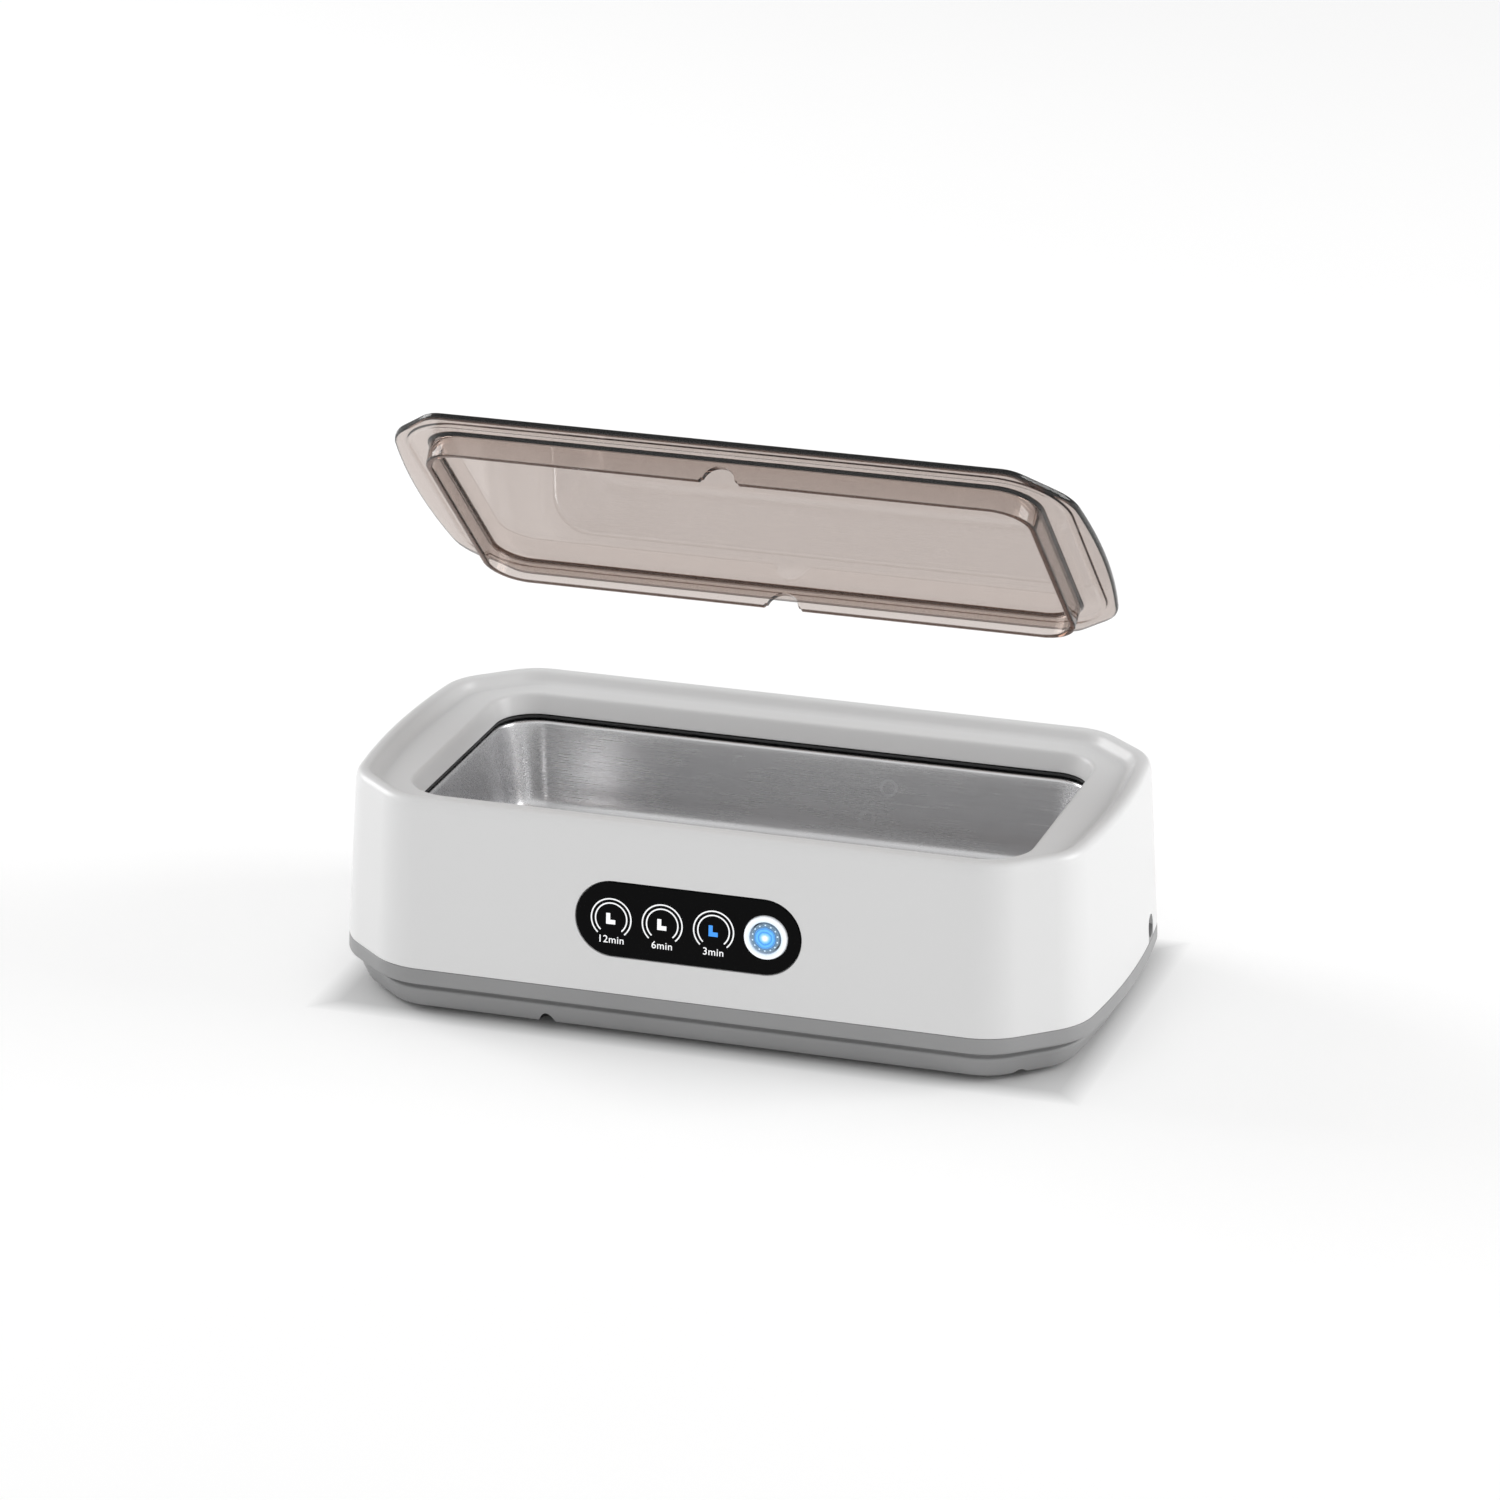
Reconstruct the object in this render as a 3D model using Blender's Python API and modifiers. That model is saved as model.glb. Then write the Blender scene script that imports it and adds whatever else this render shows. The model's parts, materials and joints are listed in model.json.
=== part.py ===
"""Countertop ultrasonic cleaner with a lift-off smoked lid.
Units: metres.  X is the long side (right is +X), Y goes to the back, Z is up, the feet stand on Z = 0."""
import math
import bpy
import bmesh
from mathutils import Vector

MM = 0.001

# ---- driving dimensions (millimetres) --------------------------------------------------------------
BODY_L = 210.0          # length over the two bulged ends, at the parting line
BODY_W = 115.0          # width over the two straight sides, at the parting line
BODY_TOP = 60.9         # height of the rim above the table
CHAMFER_X = 22.3        # how far each cut corner runs along the long side
CHAMFER_Y = 17.1        # how far each cut corner runs along the short side
FILLET_LONG = 19.6      # blend between long side and cut corner
FILLET_SHORT = 19.4     # blend between cut corner and short side
END_BULGE = 3.1         # how far the short sides swell outward
FOOT_H = 1.5            # rubber foot standing below the base
PART_Z = 14.2           # height of the seam between white shell and grey base
BAND_Z = 10.0           # lower edge of the grey band
WALL_DRAFT = 2.7        # how much the white wall leans in between the seam and the rim
WALL_T = 2.4            # shell wall thickness
BASE_T = 2.4            # floor thickness of the grey base
LEDGE_DROP = 3.1        # from the rim down to the ledge that carries the lid
WELL_DEPTH = 5.5        # from the ledge down to the foot of the well wall
GASKET_ROOM = 1.7       # between the foot of the well wall and the tank flange
TANK_L = 166.4          # steel tank, inside at the mouth
TANK_W = 78.6
TANK_FLOOR_Z = 25.0     # height of the tank's floor above the table
TANK_T = 0.8
MOUTH_X = 0.4           # how far the well stands back from the tank mouth, along X and Y
MOUTH_Y = 0.45
PANEL_W = 62.0          # black control panel
PANEL_H = 20.2
PANEL_RISE = 20.45      # middle of the panel above the seam
PANEL_T = 1.2
BUTTON_X = 21.33
BUTTON_D = 12.0
BUTTON_LENS_D = 8.0
BUTTON_TRAVEL = 0.6     # free way behind the pressed button
DIAL_XS = (-20.93, -6.9, 7.15)
JACK_Y = 23.4           # power inlet on the right end
JACK_Z = 17.9
JACK_HOLE_D = 6.0
JACK_IN = 4.9           # how far the inlet's face lies inside the end of the base
LID_RIM = 10.05         # lid outline inside the body outline
LID_CH_X = 16.4
LID_CH_Y = 13.1
LID_FILLET_LONG = 8.0
LID_FILLET_SHORT = 15.5
LID_BULGE = 2.74
LID_T = 2.0
SKIRT_GAP_X = 0.6       # room between the lid's skirt and the well wall
SKIRT_GAP_Y = 0.75
SKIRT_DROP = 7.15
NOTCH_R = 5.2           # half-round notch in each long side of the skirt
LID_PLATE_Z = -0.6      # underside of the lid's plate, from the middle height of its rim
LID_TILT = 43.29        # lid held open: front edge up by this angle
LID_OPEN_Y = 1.22       # middle of the open lid
LID_LIFT = 68.23        # how far the open lid's middle is above its seat
PIEZO_D = 44.0
PIEZO_T = 3.0
BOARD_Z = 8.0           # underside of the main board
GAP = 0.3

# ---- sizes that follow ----------------------------------------------------------------------------
LEDGE_Z = BODY_TOP - LEDGE_DROP
WELL_FOOT_Z = LEDGE_Z - WELL_DEPTH
TANK_TOP_Z = WELL_FOOT_Z - GASKET_ROOM
WELL_L = TANK_L + 2 * MOUTH_X
WELL_W = TANK_W + 2 * MOUTH_Y
SKIRT_L = WELL_L - 2 * SKIRT_GAP_X
SKIRT_W = WELL_W - 2 * SKIRT_GAP_Y
LID_L = BODY_L - 2 * LID_RIM
LID_W = BODY_W - 2 * LID_RIM
PANEL_Z = PART_Z + PANEL_RISE
LID_SEAT_Z = LEDGE_Z + GAP + 0.9
LID_OPEN_Z = LID_SEAT_Z + LID_LIFT
FLOOR_Z = FOOT_H + BASE_T

# spans in each piece of a quarter outline: straight side, blend, cut corner, swollen end
N_FRONT, N_FIL, N_CH, N_END = 1, 4, 1, 3

# ---- start clean ----------------------------------------------------------------------------------
for old in list(bpy.data.objects):
    bpy.data.objects.remove(old, do_unlink=True)

PARTS = bpy.data.collections.new("ultrasonic_cleaner")
TOOLS = bpy.data.collections.new("cutting_tools")
bpy.context.scene.collection.children.link(PARTS)
bpy.context.scene.collection.children.link(TOOLS)


# ---- helpers --------------------------------------------------------------------------------------
def material(name, rgb, rough=0.5, metal=0.0, alpha=1.0, emit=None):
    m = bpy.data.materials.new(name)
    m.use_nodes = True
    b = m.node_tree.nodes["Principled BSDF"]
    b.inputs["Base Color"].default_value = (rgb[0], rgb[1], rgb[2], 1.0)
    b.inputs["Roughness"].default_value = rough
    b.inputs["Metallic"].default_value = metal
    b.inputs["Alpha"].default_value = alpha
    if emit:
        b.inputs["Emission Color"].default_value = (emit[0], emit[1], emit[2], 1.0)
        b.inputs["Emission Strength"].default_value = emit[3]
    return m


def add(name, mesh, mat=None, coll=None, loc=(0, 0, 0), rot=(0, 0, 0), parent=None, smooth=0.0):
    ob = bpy.data.objects.new(name, mesh)
    (coll or PARTS).objects.link(ob)
    ob.location = Vector(loc) * MM
    ob.rotation_euler = rot
    if parent:
        ob.parent = parent
    if mat:
        mesh.materials.append(mat)
    if smooth:
        for p in mesh.polygons:
            p.use_smooth = True
        mesh.set_sharp_from_angle(angle=math.radians(smooth))
    if coll is TOOLS:
        ob.hide_render = True
        ob.display_type = "WIRE"
    return ob


def finish(bm, name):
    bmesh.ops.recalc_face_normals(bm, faces=bm.faces)
    me = bpy.data.meshes.new(name)
    bm.to_mesh(me)
    bm.free()
    return me


def loft(name, rings, closed=False):
    """Skin a stack of equal rings; an open stack is capped at both ends."""
    bm = bmesh.new()
    vs = [[bm.verts.new(Vector(p) * MM) for p in r] for r in rings]
    n = len(rings[0])
    pairs = list(zip(vs[:-1], vs[1:]))
    if closed:
        pairs.append((vs[-1], vs[0]))
    for a, b in pairs:
        for i in range(n):
            j = (i + 1) % n
            bm.faces.new((a[i], a[j], b[j], b[i]))
    if not closed:
        bm.faces.new(list(reversed(vs[0])))
        bm.faces.new(vs[-1])
    return finish(bm, name)


def turned(name, prof, mat=None, seg=16, axis="Z", **kw):
    """Turned piece: (radius, height) pairs from bottom to top, spun about the axis by a Screw modifier."""
    pts = [(0.0, prof[-1][1])] + list(reversed(prof)) + [(0.0, prof[0][1])]
    bm = bmesh.new()
    vs = [bm.verts.new((r * MM, 0, h * MM)) for r, h in pts]
    for a, b in zip(vs[:-1], vs[1:]):
        bm.edges.new((a, b))
    me = bpy.data.meshes.new(name)
    bm.to_mesh(me)
    bm.free()
    turn = {"Z": (0, 0, 0), "Y": (-math.pi / 2, 0, 0), "X": (0, math.pi / 2, 0)}[axis]
    ob = add(name, me, mat, rot=turn, **kw)
    m = ob.modifiers.new("turn", "SCREW")
    m.steps = m.render_steps = seg
    m.use_merge_vertices = True
    m.merge_threshold = 0.00001
    m.use_smooth_shade = True
    return ob


def blocks(name, boxes):
    """One mesh made of separate boxes, each (x0, x1, y0, y1, z0, z1)."""
    bm = bmesh.new()
    for x0, x1, y0, y1, z0, z1 in boxes:
        r = bmesh.ops.create_cube(bm, size=1.0)
        for v in r["verts"]:
            v.co = Vector(((x0 + x1) / 2 + v.co.x * (x1 - x0), (y0 + y1) / 2 + v.co.y * (y1 - y0),
                           (z0 + z1) / 2 + v.co.z * (z1 - z0))) * MM
    return finish(bm, name)


def rods(name, items, seg=16):
    """One mesh made of separate upright cylinders, each (x, y, radius, z0, z1)."""
    bm = bmesh.new()
    for x, y, r, z0, z1 in items:
        g = bmesh.ops.create_cone(bm, cap_ends=True, segments=seg, radius1=r * MM, radius2=r * MM,
                                  depth=(z1 - z0) * MM)
        for v in g["verts"]:
            v.co += Vector((x, y, (z0 + z1) / 2)) * MM
    return finish(bm, name)


def boolean(ob, tool, op):
    m = ob.modifiers.new(op.lower(), "BOOLEAN")
    m.operation = op
    m.solver = "EXACT"
    m.object = tool


def bevel(ob, width, segments=2, angle=40):
    m = ob.modifiers.new("edge", "BEVEL")
    m.width = width * MM
    m.segments = segments
    m.limit_method = "ANGLE"
    m.angle_limit = math.radians(angle)


def quarter_full(q):
    """Mirror a quarter outline, from (0, +y) round to (+x, 0), into the whole ring."""
    return (q[:-1] + [(x, -y) for x, y in reversed(q)][:-1]
            + [(-x, -y) for x, y in q][:-1] + [(-x, y) for x, y in reversed(q)][:-1])


def arc(cx, cy, r, a0, a1, n):
    return [(cx + r * math.cos(a0 + (a1 - a0) * k / n), cy + r * math.sin(a0 + (a1 - a0) * k / n))
            for k in range(n + 1)]


def outline(a, b, cx, cy, r1, r2, bulge, d):
    """Rectangle with cut, blended corners and swollen short ends, moved inward by d."""
    v1 = Vector((a - cx, b))
    v2 = Vector((a - bulge, b - cy))
    u = (v2 - v1).normalized()
    nrm = Vector((-u.y, u.x))
    ang = math.atan2(nrm.y, nrm.x)
    half = b - cy
    big = (half * half + bulge * bulge) / (2 * bulge)      # radius of the swollen end
    end_ang = math.asin(half / big)
    # blend one: tangent to the long side and to the cut corner
    c1y = b - r1
    k = nrm.dot(v1) - r1
    c1x = (k - nrm.y * c1y) / nrm.x
    # blend two: tangent to the cut corner and to the swollen end (inside its circle)
    ocx = a - big
    lo, hi = 0.0, half
    kk = nrm.dot(v1) - r2
    for _ in range(60):
        mid = (lo + hi) / 2
        c2x = (kk - nrm.y * mid) / nrm.x
        if math.hypot(c2x - ocx, mid) > big - r2:
            lo = mid
        else:
            hi = mid
    c2 = Vector((c2x, mid))
    a_end = math.atan2(c2.y, c2.x - ocx)
    q = []
    x_s = c1x
    for i in range(N_FRONT):
        q.append((x_s * i / N_FRONT, b - d))
    f1 = arc(c1x, c1y, r1 - d, math.pi / 2, ang, N_FIL)
    f2 = arc(c2.x, c2.y, r2 - d, ang, a_end, N_FIL)
    q += f1
    for i in range(1, N_CH):
        q.append((f1[-1][0] + (f2[0][0] - f1[-1][0]) * i / N_CH,
                  f1[-1][1] + (f2[0][1] - f1[-1][1]) * i / N_CH))
    q += f2
    q += arc(ocx, 0, big - d, a_end, 0.0, N_END)[1:]
    return quarter_full(q)


def rrect(hx, hy, r):
    """Rounded rectangle with the same number of points as outline()."""
    n_arc = 2 * N_FIL + N_CH
    q = [((hx - r) * i / N_FRONT, hy) for i in range(N_FRONT)]
    q += arc(hx - r, hy - r, r, math.pi / 2, 0.0, n_arc)
    q += [(hx, (hy - r) * (1 - i / N_END)) for i in range(1, N_END + 1)]
    return quarter_full(q)


def body(d, z):
    return [(x, y, z) for x, y in outline(BODY_L / 2, BODY_W / 2, CHAMFER_X, CHAMFER_Y, FILLET_LONG,
                                          FILLET_SHORT, END_BULGE, d)]


def rr(hx, hy, r, z):
    return [(x, y, z) for x, y in rrect(hx, hy, r)]


def lid_ring(d, z):
    return [(x, y, z) for x, y in outline(LID_L / 2, LID_W / 2, LID_CH_X, LID_CH_Y, LID_FILLET_LONG,
                                          LID_FILLET_SHORT, LID_BULGE, d)]


def lean(z):
    """How far the white wall has leaned in at height z."""
    return WALL_DRAFT * (z - PART_Z) / (BODY_TOP - PART_Z)


def tube(name, pts, radius, mat, per=4):
    """Insulated wire along a smooth curve through the given points."""
    ps = [Vector(p) for p in pts]
    ps = [2 * ps[0] - ps[1]] + ps + [2 * ps[-1] - ps[-2]]
    run = []
    for a, b, c, d in zip(ps[:-3], ps[1:-2], ps[2:-1], ps[3:]):
        for k in range(per):
            t = k / per
            run.append(0.5 * (2 * b + (c - a) * t + (2 * a - 5 * b + 4 * c - d) * t * t
                              + (3 * b - a - 3 * c + d) * t * t * t))
    run.append(ps[-2])
    cu = bpy.data.curves.new(name, "CURVE")
    cu.dimensions = "3D"
    cu.resolution_u = 1
    cu.render_resolution_u = 0
    cu.bevel_depth = radius * MM
    cu.bevel_resolution = 2
    cu.use_fill_caps = True
    sp = cu.splines.new("POLY")
    sp.points.add(len(run) - 1)
    for pt, p in zip(sp.points, run):
        pt.co = (p.x * MM, p.y * MM, p.z * MM, 1.0)
    ob = bpy.data.objects.new(name, cu)
    PARTS.objects.link(ob)
    cu.materials.append(mat)
    return ob


# ---- materials ------------------------------------------------------------------------------------
M_SHELL = material("white_abs", (0.78, 0.78, 0.78), 0.32)
M_BASE = material("grey_abs", (0.24, 0.24, 0.245), 0.45)
M_STEEL = material("stainless", (0.62, 0.62, 0.63), 0.22, 1.0)
M_RUBBER = material("black_rubber", (0.02, 0.02, 0.02), 0.8)
M_GASKET = material("gasket_silicone", (0.05, 0.05, 0.05), 0.7)
M_CLAMP = material("clamp_nylon", (0.35, 0.35, 0.36), 0.6)
M_SCREW = material("zinc_screw", (0.55, 0.55, 0.53), 0.3, 1.0)
M_PANEL = material("panel_black", (0.008, 0.008, 0.009), 0.12)
M_BTN = material("button_white", (0.85, 0.86, 0.88), 0.25)
M_BLENS = material("button_blue", (0.10, 0.42, 0.95), 0.2, 0.0, 1.0, (0.10, 0.45, 1.0, 1.5))
M_LID = material("smoked_clear", (0.42, 0.33, 0.29), 0.08, 0.0, 0.55)
M_PIEZO = material("piezo_silvered", (0.72, 0.70, 0.66), 0.35, 0.6)
M_BOND = material("epoxy_bond", (0.25, 0.16, 0.06), 0.4)
M_PCB = material("pcb_green", (0.02, 0.13, 0.05), 0.35)
M_CTRL = material("pcb_white", (0.62, 0.64, 0.62), 0.4)
M_FERR = material("ferrite", (0.06, 0.06, 0.065), 0.55)
M_CAP = material("capacitor_sleeve", (0.03, 0.05, 0.16), 0.3)
M_FILM = material("film_yellow", (0.72, 0.46, 0.05), 0.4)
M_SINK = material("aluminium_sink", (0.55, 0.56, 0.58), 0.35, 1.0)
M_CHIP = material("transistor_black", (0.03, 0.03, 0.03), 0.4)
M_CONN = material("connector_white", (0.75, 0.74, 0.70), 0.5)
M_JACK = material("jack_black", (0.03, 0.03, 0.032), 0.35)
M_PIN = material("nickel_pin", (0.68, 0.67, 0.63), 0.2, 1.0)
M_RED = material("wire_red", (0.55, 0.03, 0.02), 0.45)
M_BLACK = material("wire_black", (0.02, 0.02, 0.02), 0.45)
M_YEL = material("wire_yellow", (0.75, 0.55, 0.05), 0.45)
M_BLUE = material("wire_blue", (0.03, 0.10, 0.50), 0.45)
M_RIB = material("ribbon_grey", (0.40, 0.41, 0.43), 0.5)
M_FRAME = material("light_frame_white", (0.80, 0.80, 0.78), 0.5)
M_LED = material("led_package", (0.85, 0.85, 0.75), 0.3)
M_SW = material("switch_body", (0.06, 0.06, 0.06), 0.4)
M_PLG = material("switch_plunger", (0.55, 0.10, 0.05), 0.4)

# ---- screw and foot positions ---------------------------------------------------------------------
HX, HY = BODY_L / 2, BODY_W / 2
PX, PZ = PANEL_W / 2, PANEL_H / 2
HOUSING_SCREWS = ((HX - 19.8, 13.3 - HY, 3.5), (20.6 - HX, 14.1 - HY, 3.5), (HX - 20.6, HY - 14.1, 3.5),
                  (20.6 - HX, HY - 14.1, 3.5), (-PX - 9.5, 6.67 - HY, 2.66), (PX + 9.5, HY - 7.3, 2.66))
TX, TY = TANK_L / 2, TANK_W / 2
CLAMP_SCREWS = ((-45.0, -TY - 8.9), (45.0, -TY - 8.9), (-45.0, TY + 8.9), (45.0, TY + 8.9),
                (-TX - 10.0, 0.0), (TX + 10.0, 0.0))
FEET = ((35.0 - HX, 21.5 - HY), (HX - 35.0, 21.5 - HY), (35.0 - HX, HY - 21.5), (HX - 35.0, HY - 21.5))
BOARD_POSTS = ((-67.0, -20.0), (-67.0, 20.0), (-5.0, -20.0), (-5.0, 20.0))
BOARD_SCREWS = ((-67.0, -20.0), (-5.0, 20.0))

# ---- white upper shell ----------------------------------------------------------------------------
shell_z0 = PART_Z + 0.15
WX, WY = WELL_L / 2, WELL_W / 2
TOP = BODY_TOP
sh = [body(0.2, shell_z0), body(0.02, shell_z0 + 0.25), body(lean(PANEL_Z), PANEL_Z),
      body(lean(TOP - 2.5), TOP - 2.5), body(2.85, TOP - 1.4), body(3.45, TOP - 0.5), body(4.3, TOP - 0.05),
      body(5.3, TOP), body(6.3, TOP - 0.2), body(6.95, TOP - 0.75), body(7.5, TOP - 1.6),
      body(8.1, LEDGE_Z + 0.7), body(8.9, LEDGE_Z + 0.2), body(9.9, LEDGE_Z),
      rr(WX + 2.5, WY + 2.75, 13.2, LEDGE_Z), rr(WX + 1.6, WY + 1.85, 12.4, LEDGE_Z - 0.35),
      rr(WX + 1.0, WY + 1.2, 11.8, LEDGE_Z - 1.3), rr(WX, WY, 11.0, WELL_FOOT_Z + 0.2),
      rr(WX + 0.25, WY + 0.25, 11.2, WELL_FOOT_Z),
      rr(WX + 4.4, WY + 4.4, 14.4, WELL_FOOT_Z), rr(WX + 4.4, WY + 4.4, 14.4, WELL_FOOT_Z + 2.0),
      rr(WX + 3.2, WY + 3.3, 13.6, WELL_FOOT_Z + 2.2), rr(WX + 3.6, WY + 3.7, 14.0, LEDGE_Z - 2.4),
      body(11.3, LEDGE_Z - 2.4), body(8.9, LEDGE_Z - 1.4), body(7.4, TOP - 2.7), body(6.2, TOP - 2.2),
      body(5.3, TOP - 2.5), body(lean(TOP - 4.4) + WALL_T, TOP - 4.4), body(WALL_T + 0.2, PART_Z + 3.2),
      body(WALL_T + 0.2, shell_z0)]
upper_shell = add("upper_shell", loft("upper_shell", sh, closed=True), M_SHELL, smooth=35)

shell_posts = ([(x, y, 3.2, 9.8, 30.0) for x, y, r in HOUSING_SCREWS]
               + [(x, y, 3.2, TANK_TOP_Z - 0.8, LEDGE_Z - 0.8) for x, y in CLAMP_SCREWS])
shell_adds = add("shell_adds", rods("shell_adds", shell_posts, 12), coll=TOOLS)
# webs tie each screw post to the nearest wall
bm = bmesh.new()
for x, y, r in HOUSING_SCREWS:
    side = r < 3
    far = 5.6 if side else 7.3
    dx = math.copysign(0.0 if side else 0.665, x)
    dy = math.copysign(1.0 if side else 0.747, y)
    g = bmesh.ops.create_cube(bm, size=1.0)
    for v in g["verts"]:
        lx, ly, lz = v.co
        s = far / 2 + lx * (far - 1.0)
        t = ly * 1.8
        v.co = Vector((x + dx * s - dy * t, y + dy * s + dx * t, 26.0 + lz * 16.0)) * MM
shell_webs = add("shell_webs", finish(bm, "shell_webs"), coll=TOOLS)
boolean(upper_shell, shell_webs, "UNION")
boolean(upper_shell, shell_adds, "UNION")

# the panel frame: origin at the middle of the panel, on the surface of the leaning front wall
LEAN_ANG = math.atan2(WALL_DRAFT, BODY_TOP - PART_Z)
PANEL_Y = -(BODY_W / 2 - lean(PANEL_Z))
panel_axis = bpy.data.objects.new("panel_axis", None)
PARTS.objects.link(panel_axis)
panel_axis.location = Vector((0, PANEL_Y, PANEL_Z)) * MM
panel_axis.rotation_euler = (-LEAN_ANG, 0, 0)


def stadium(hw, hh, n=12):
    """Outline with two half-round ends."""
    pts = [(hw - hh + hh * math.sin(math.pi * k / n), hh * math.cos(math.pi * k / n)) for k in range(n + 1)]
    pts += [(-(hw - hh) - hh * math.sin(math.pi * k / n), -hh * math.cos(math.pi * k / n))
            for k in range(n + 1)]
    return pts


def slab(name, hw, hh, y0, y1):
    """Stadium plate: a filled 2D curve with its thickness, stood upright and welded into a mesh."""
    cu = bpy.data.curves.new(name, "CURVE")
    cu.dimensions = "2D"
    cu.fill_mode = "BOTH"
    cu.extrude = (y1 - y0) / 2 * MM
    sp = cu.splines.new("POLY")
    pts = stadium(hw, hh)
    sp.points.add(len(pts) - 1)
    for pt, (x, z) in zip(sp.points, pts):
        pt.co = (x * MM, z * MM, 0, 1)
    sp.use_cyclic_u = True
    ob = bpy.data.objects.new(name + "_outline", cu)
    TOOLS.objects.link(ob)
    me = bpy.data.meshes.new_from_object(ob.evaluated_get(bpy.context.evaluated_depsgraph_get()))
    bm = bmesh.new()
    bm.from_mesh(me)
    bpy.data.meshes.remove(me)
    bpy.data.objects.remove(ob, do_unlink=True)
    bmesh.ops.remove_doubles(bm, verts=bm.verts, dist=0.000001)
    for v in bm.verts:
        v.co = Vector((v.co.x, (y0 + y1) / 2 * MM - v.co.z, v.co.y))
    return finish(bm, name)


recess = add("panel_recess", slab("panel_recess", PANEL_W / 2 + GAP, PANEL_H / 2 + GAP, -4.0, 1.35),
             coll=TOOLS, parent=panel_axis)
window = add("panel_window", slab("panel_window", PANEL_W / 2 - 2.2, PANEL_H / 2 - 2.4, 0.6, 6.0),
             coll=TOOLS, parent=panel_axis)
boolean(upper_shell, recess, "DIFFERENCE")
boolean(upper_shell, window, "DIFFERENCE")

slot_r = JACK_HOLE_D / 2 + GAP
slot_a = turned("jack_slot_round", [(slot_r, 0), (slot_r, 12)], None, 20, "X", coll=TOOLS,
                loc=(HX - 8.5, JACK_Y, JACK_Z))
slot_b = add("jack_slot_foot", blocks("jack_slot_foot", [(HX - 8.5, HX + 3.5, JACK_Y - slot_r + 0.002,
             JACK_Y + slot_r - 0.002, 12.0, JACK_Z)]), coll=TOOLS)
boolean(upper_shell, slot_a, "DIFFERENCE")
boolean(upper_shell, slot_b, "DIFFERENCE")
pilots = add("shell_pilots", rods("shell_pilots",
             [(x, y, 1.5, 5.0, 22.0) for x, y, r in HOUSING_SCREWS]
             + [(x, y, 1.5, TANK_TOP_Z - 5.0, LEDGE_Z - 2.3) for x, y in CLAMP_SCREWS], 12), coll=TOOLS)
boolean(upper_shell, pilots, "DIFFERENCE")

# ---- grey lower housing ---------------------------------------------------------------------------
lo = [body(7.6, FOOT_H), body(6.0, FOOT_H), body(5.4, FOOT_H + 0.2), body(5.05, FOOT_H + 0.7),
      body(3.9, BAND_Z - 5.4), body(3.0, BAND_Z - 2.8), body(2.5, BAND_Z - 0.7), body(2.2, BAND_Z - 0.38),
      body(0.6, BAND_Z - 0.3),
      body(0.0, BAND_Z), body(-0.2, BAND_Z + 0.6), body(-0.02, PART_Z - 0.35), body(0.18, PART_Z - 0.15),
      body(WALL_T + 0.52, PART_Z - 0.15), body(WALL_T + 0.54, PART_Z + 2.5),
      body(WALL_T + 0.8, PART_Z + 2.75), body(4.0, PART_Z + 2.75), body(4.2, PART_Z + 2.5),
      body(4.7, BAND_Z - 0.4), body(6.3, BAND_Z - 4.8),
      body(7.4, FLOOR_Z), body(9.0, FLOOR_Z)]
lower_housing = add("lower_housing", loft("lower_housing", lo), M_BASE, smooth=35)

env = loft("envelope", [body(6.0, FOOT_H), body(5.4, FOOT_H + 0.2), body(5.05, FOOT_H + 0.7),
                        body(3.9, BAND_Z - 5.4), body(3.0, BAND_Z - 2.8), body(2.5, BAND_Z - 0.7),
                        body(2.2, BAND_Z - 0.38), body(0.7, BAND_Z - 0.2), body(0.1, BAND_Z + 0.3),
                        body(0.05, PART_Z), body(lean(PART_Z + 7.8) + 0.03, PART_Z + 7.8)])
envelope = add("envelope", env, coll=TOOLS)
base_bosses = add("base_bosses", rods("base_bosses",
                  [(x, y, r + 1.5, FLOOR_Z - 0.9, BAND_Z - 0.5) for x, y, r in HOUSING_SCREWS]), coll=TOOLS)
boolean(base_bosses, envelope, "INTERSECT")
tab = add("jack_tab", blocks("jack_tab", [(HX - 3.9, HX + 1.5, JACK_Y - slot_r + GAP, JACK_Y + slot_r - GAP,
                                           PART_Z - 1.7, JACK_Z - 0.4)]), coll=TOOLS)
boolean(tab, envelope, "INTERSECT")
posts_b = add("board_posts", rods("board_posts", [(x, y, 3.0, FLOOR_Z - 0.9, BOARD_Z - GAP)
                                                  for x, y in BOARD_POSTS]), coll=TOOLS)
boolean(lower_housing, base_bosses, "UNION")
boolean(lower_housing, tab, "UNION")
boolean(lower_housing, posts_b, "UNION")
base_cuts = add("base_cuts", rods("base_cuts",
                [(x, y, r, -1.0, 7.5) for x, y, r in HOUSING_SCREWS]
                + [(x, y, 6.0, -1.0, FOOT_H + 0.9) for x, y in FEET]), coll=TOOLS)
boolean(lower_housing, base_cuts, "DIFFERENCE")
post_room = add("post_room", rods("post_room", [(x, y, 3.55, 9.5, 20.0) for x, y, r in HOUSING_SCREWS]),
                coll=TOOLS)
boolean(lower_housing, post_room, "DIFFERENCE")
base_holes = add("base_holes", rods("base_holes",
                 [(x, y, 1.7, 6.0, 12.0) for x, y, r in HOUSING_SCREWS]
                 + [(x, y, 1.4, 4.5, 12.0) for x, y in BOARD_SCREWS], 12), coll=TOOLS)
boolean(lower_housing, base_holes, "DIFFERENCE")
jack_hole = turned("jack_hole", [(JACK_HOLE_D / 2, 0), (JACK_HOLE_D / 2, 12)], None, 20, "X", coll=TOOLS,
                   loc=(HX - 8.0, JACK_Y, JACK_Z))
JX = HX - JACK_IN
JR = JACK_HOLE_D / 2 + 1.7
jack_room = add("jack_room", blocks("jack_room", [(JX - 14.5, JX + 1.15, JACK_Y - JR - 0.7,
                JACK_Y + JR + 0.7, JACK_Z - JR - 1.0, JACK_Z + JR + 2.4)]), coll=TOOLS)
boolean(lower_housing, jack_room, "DIFFERENCE")
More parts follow.
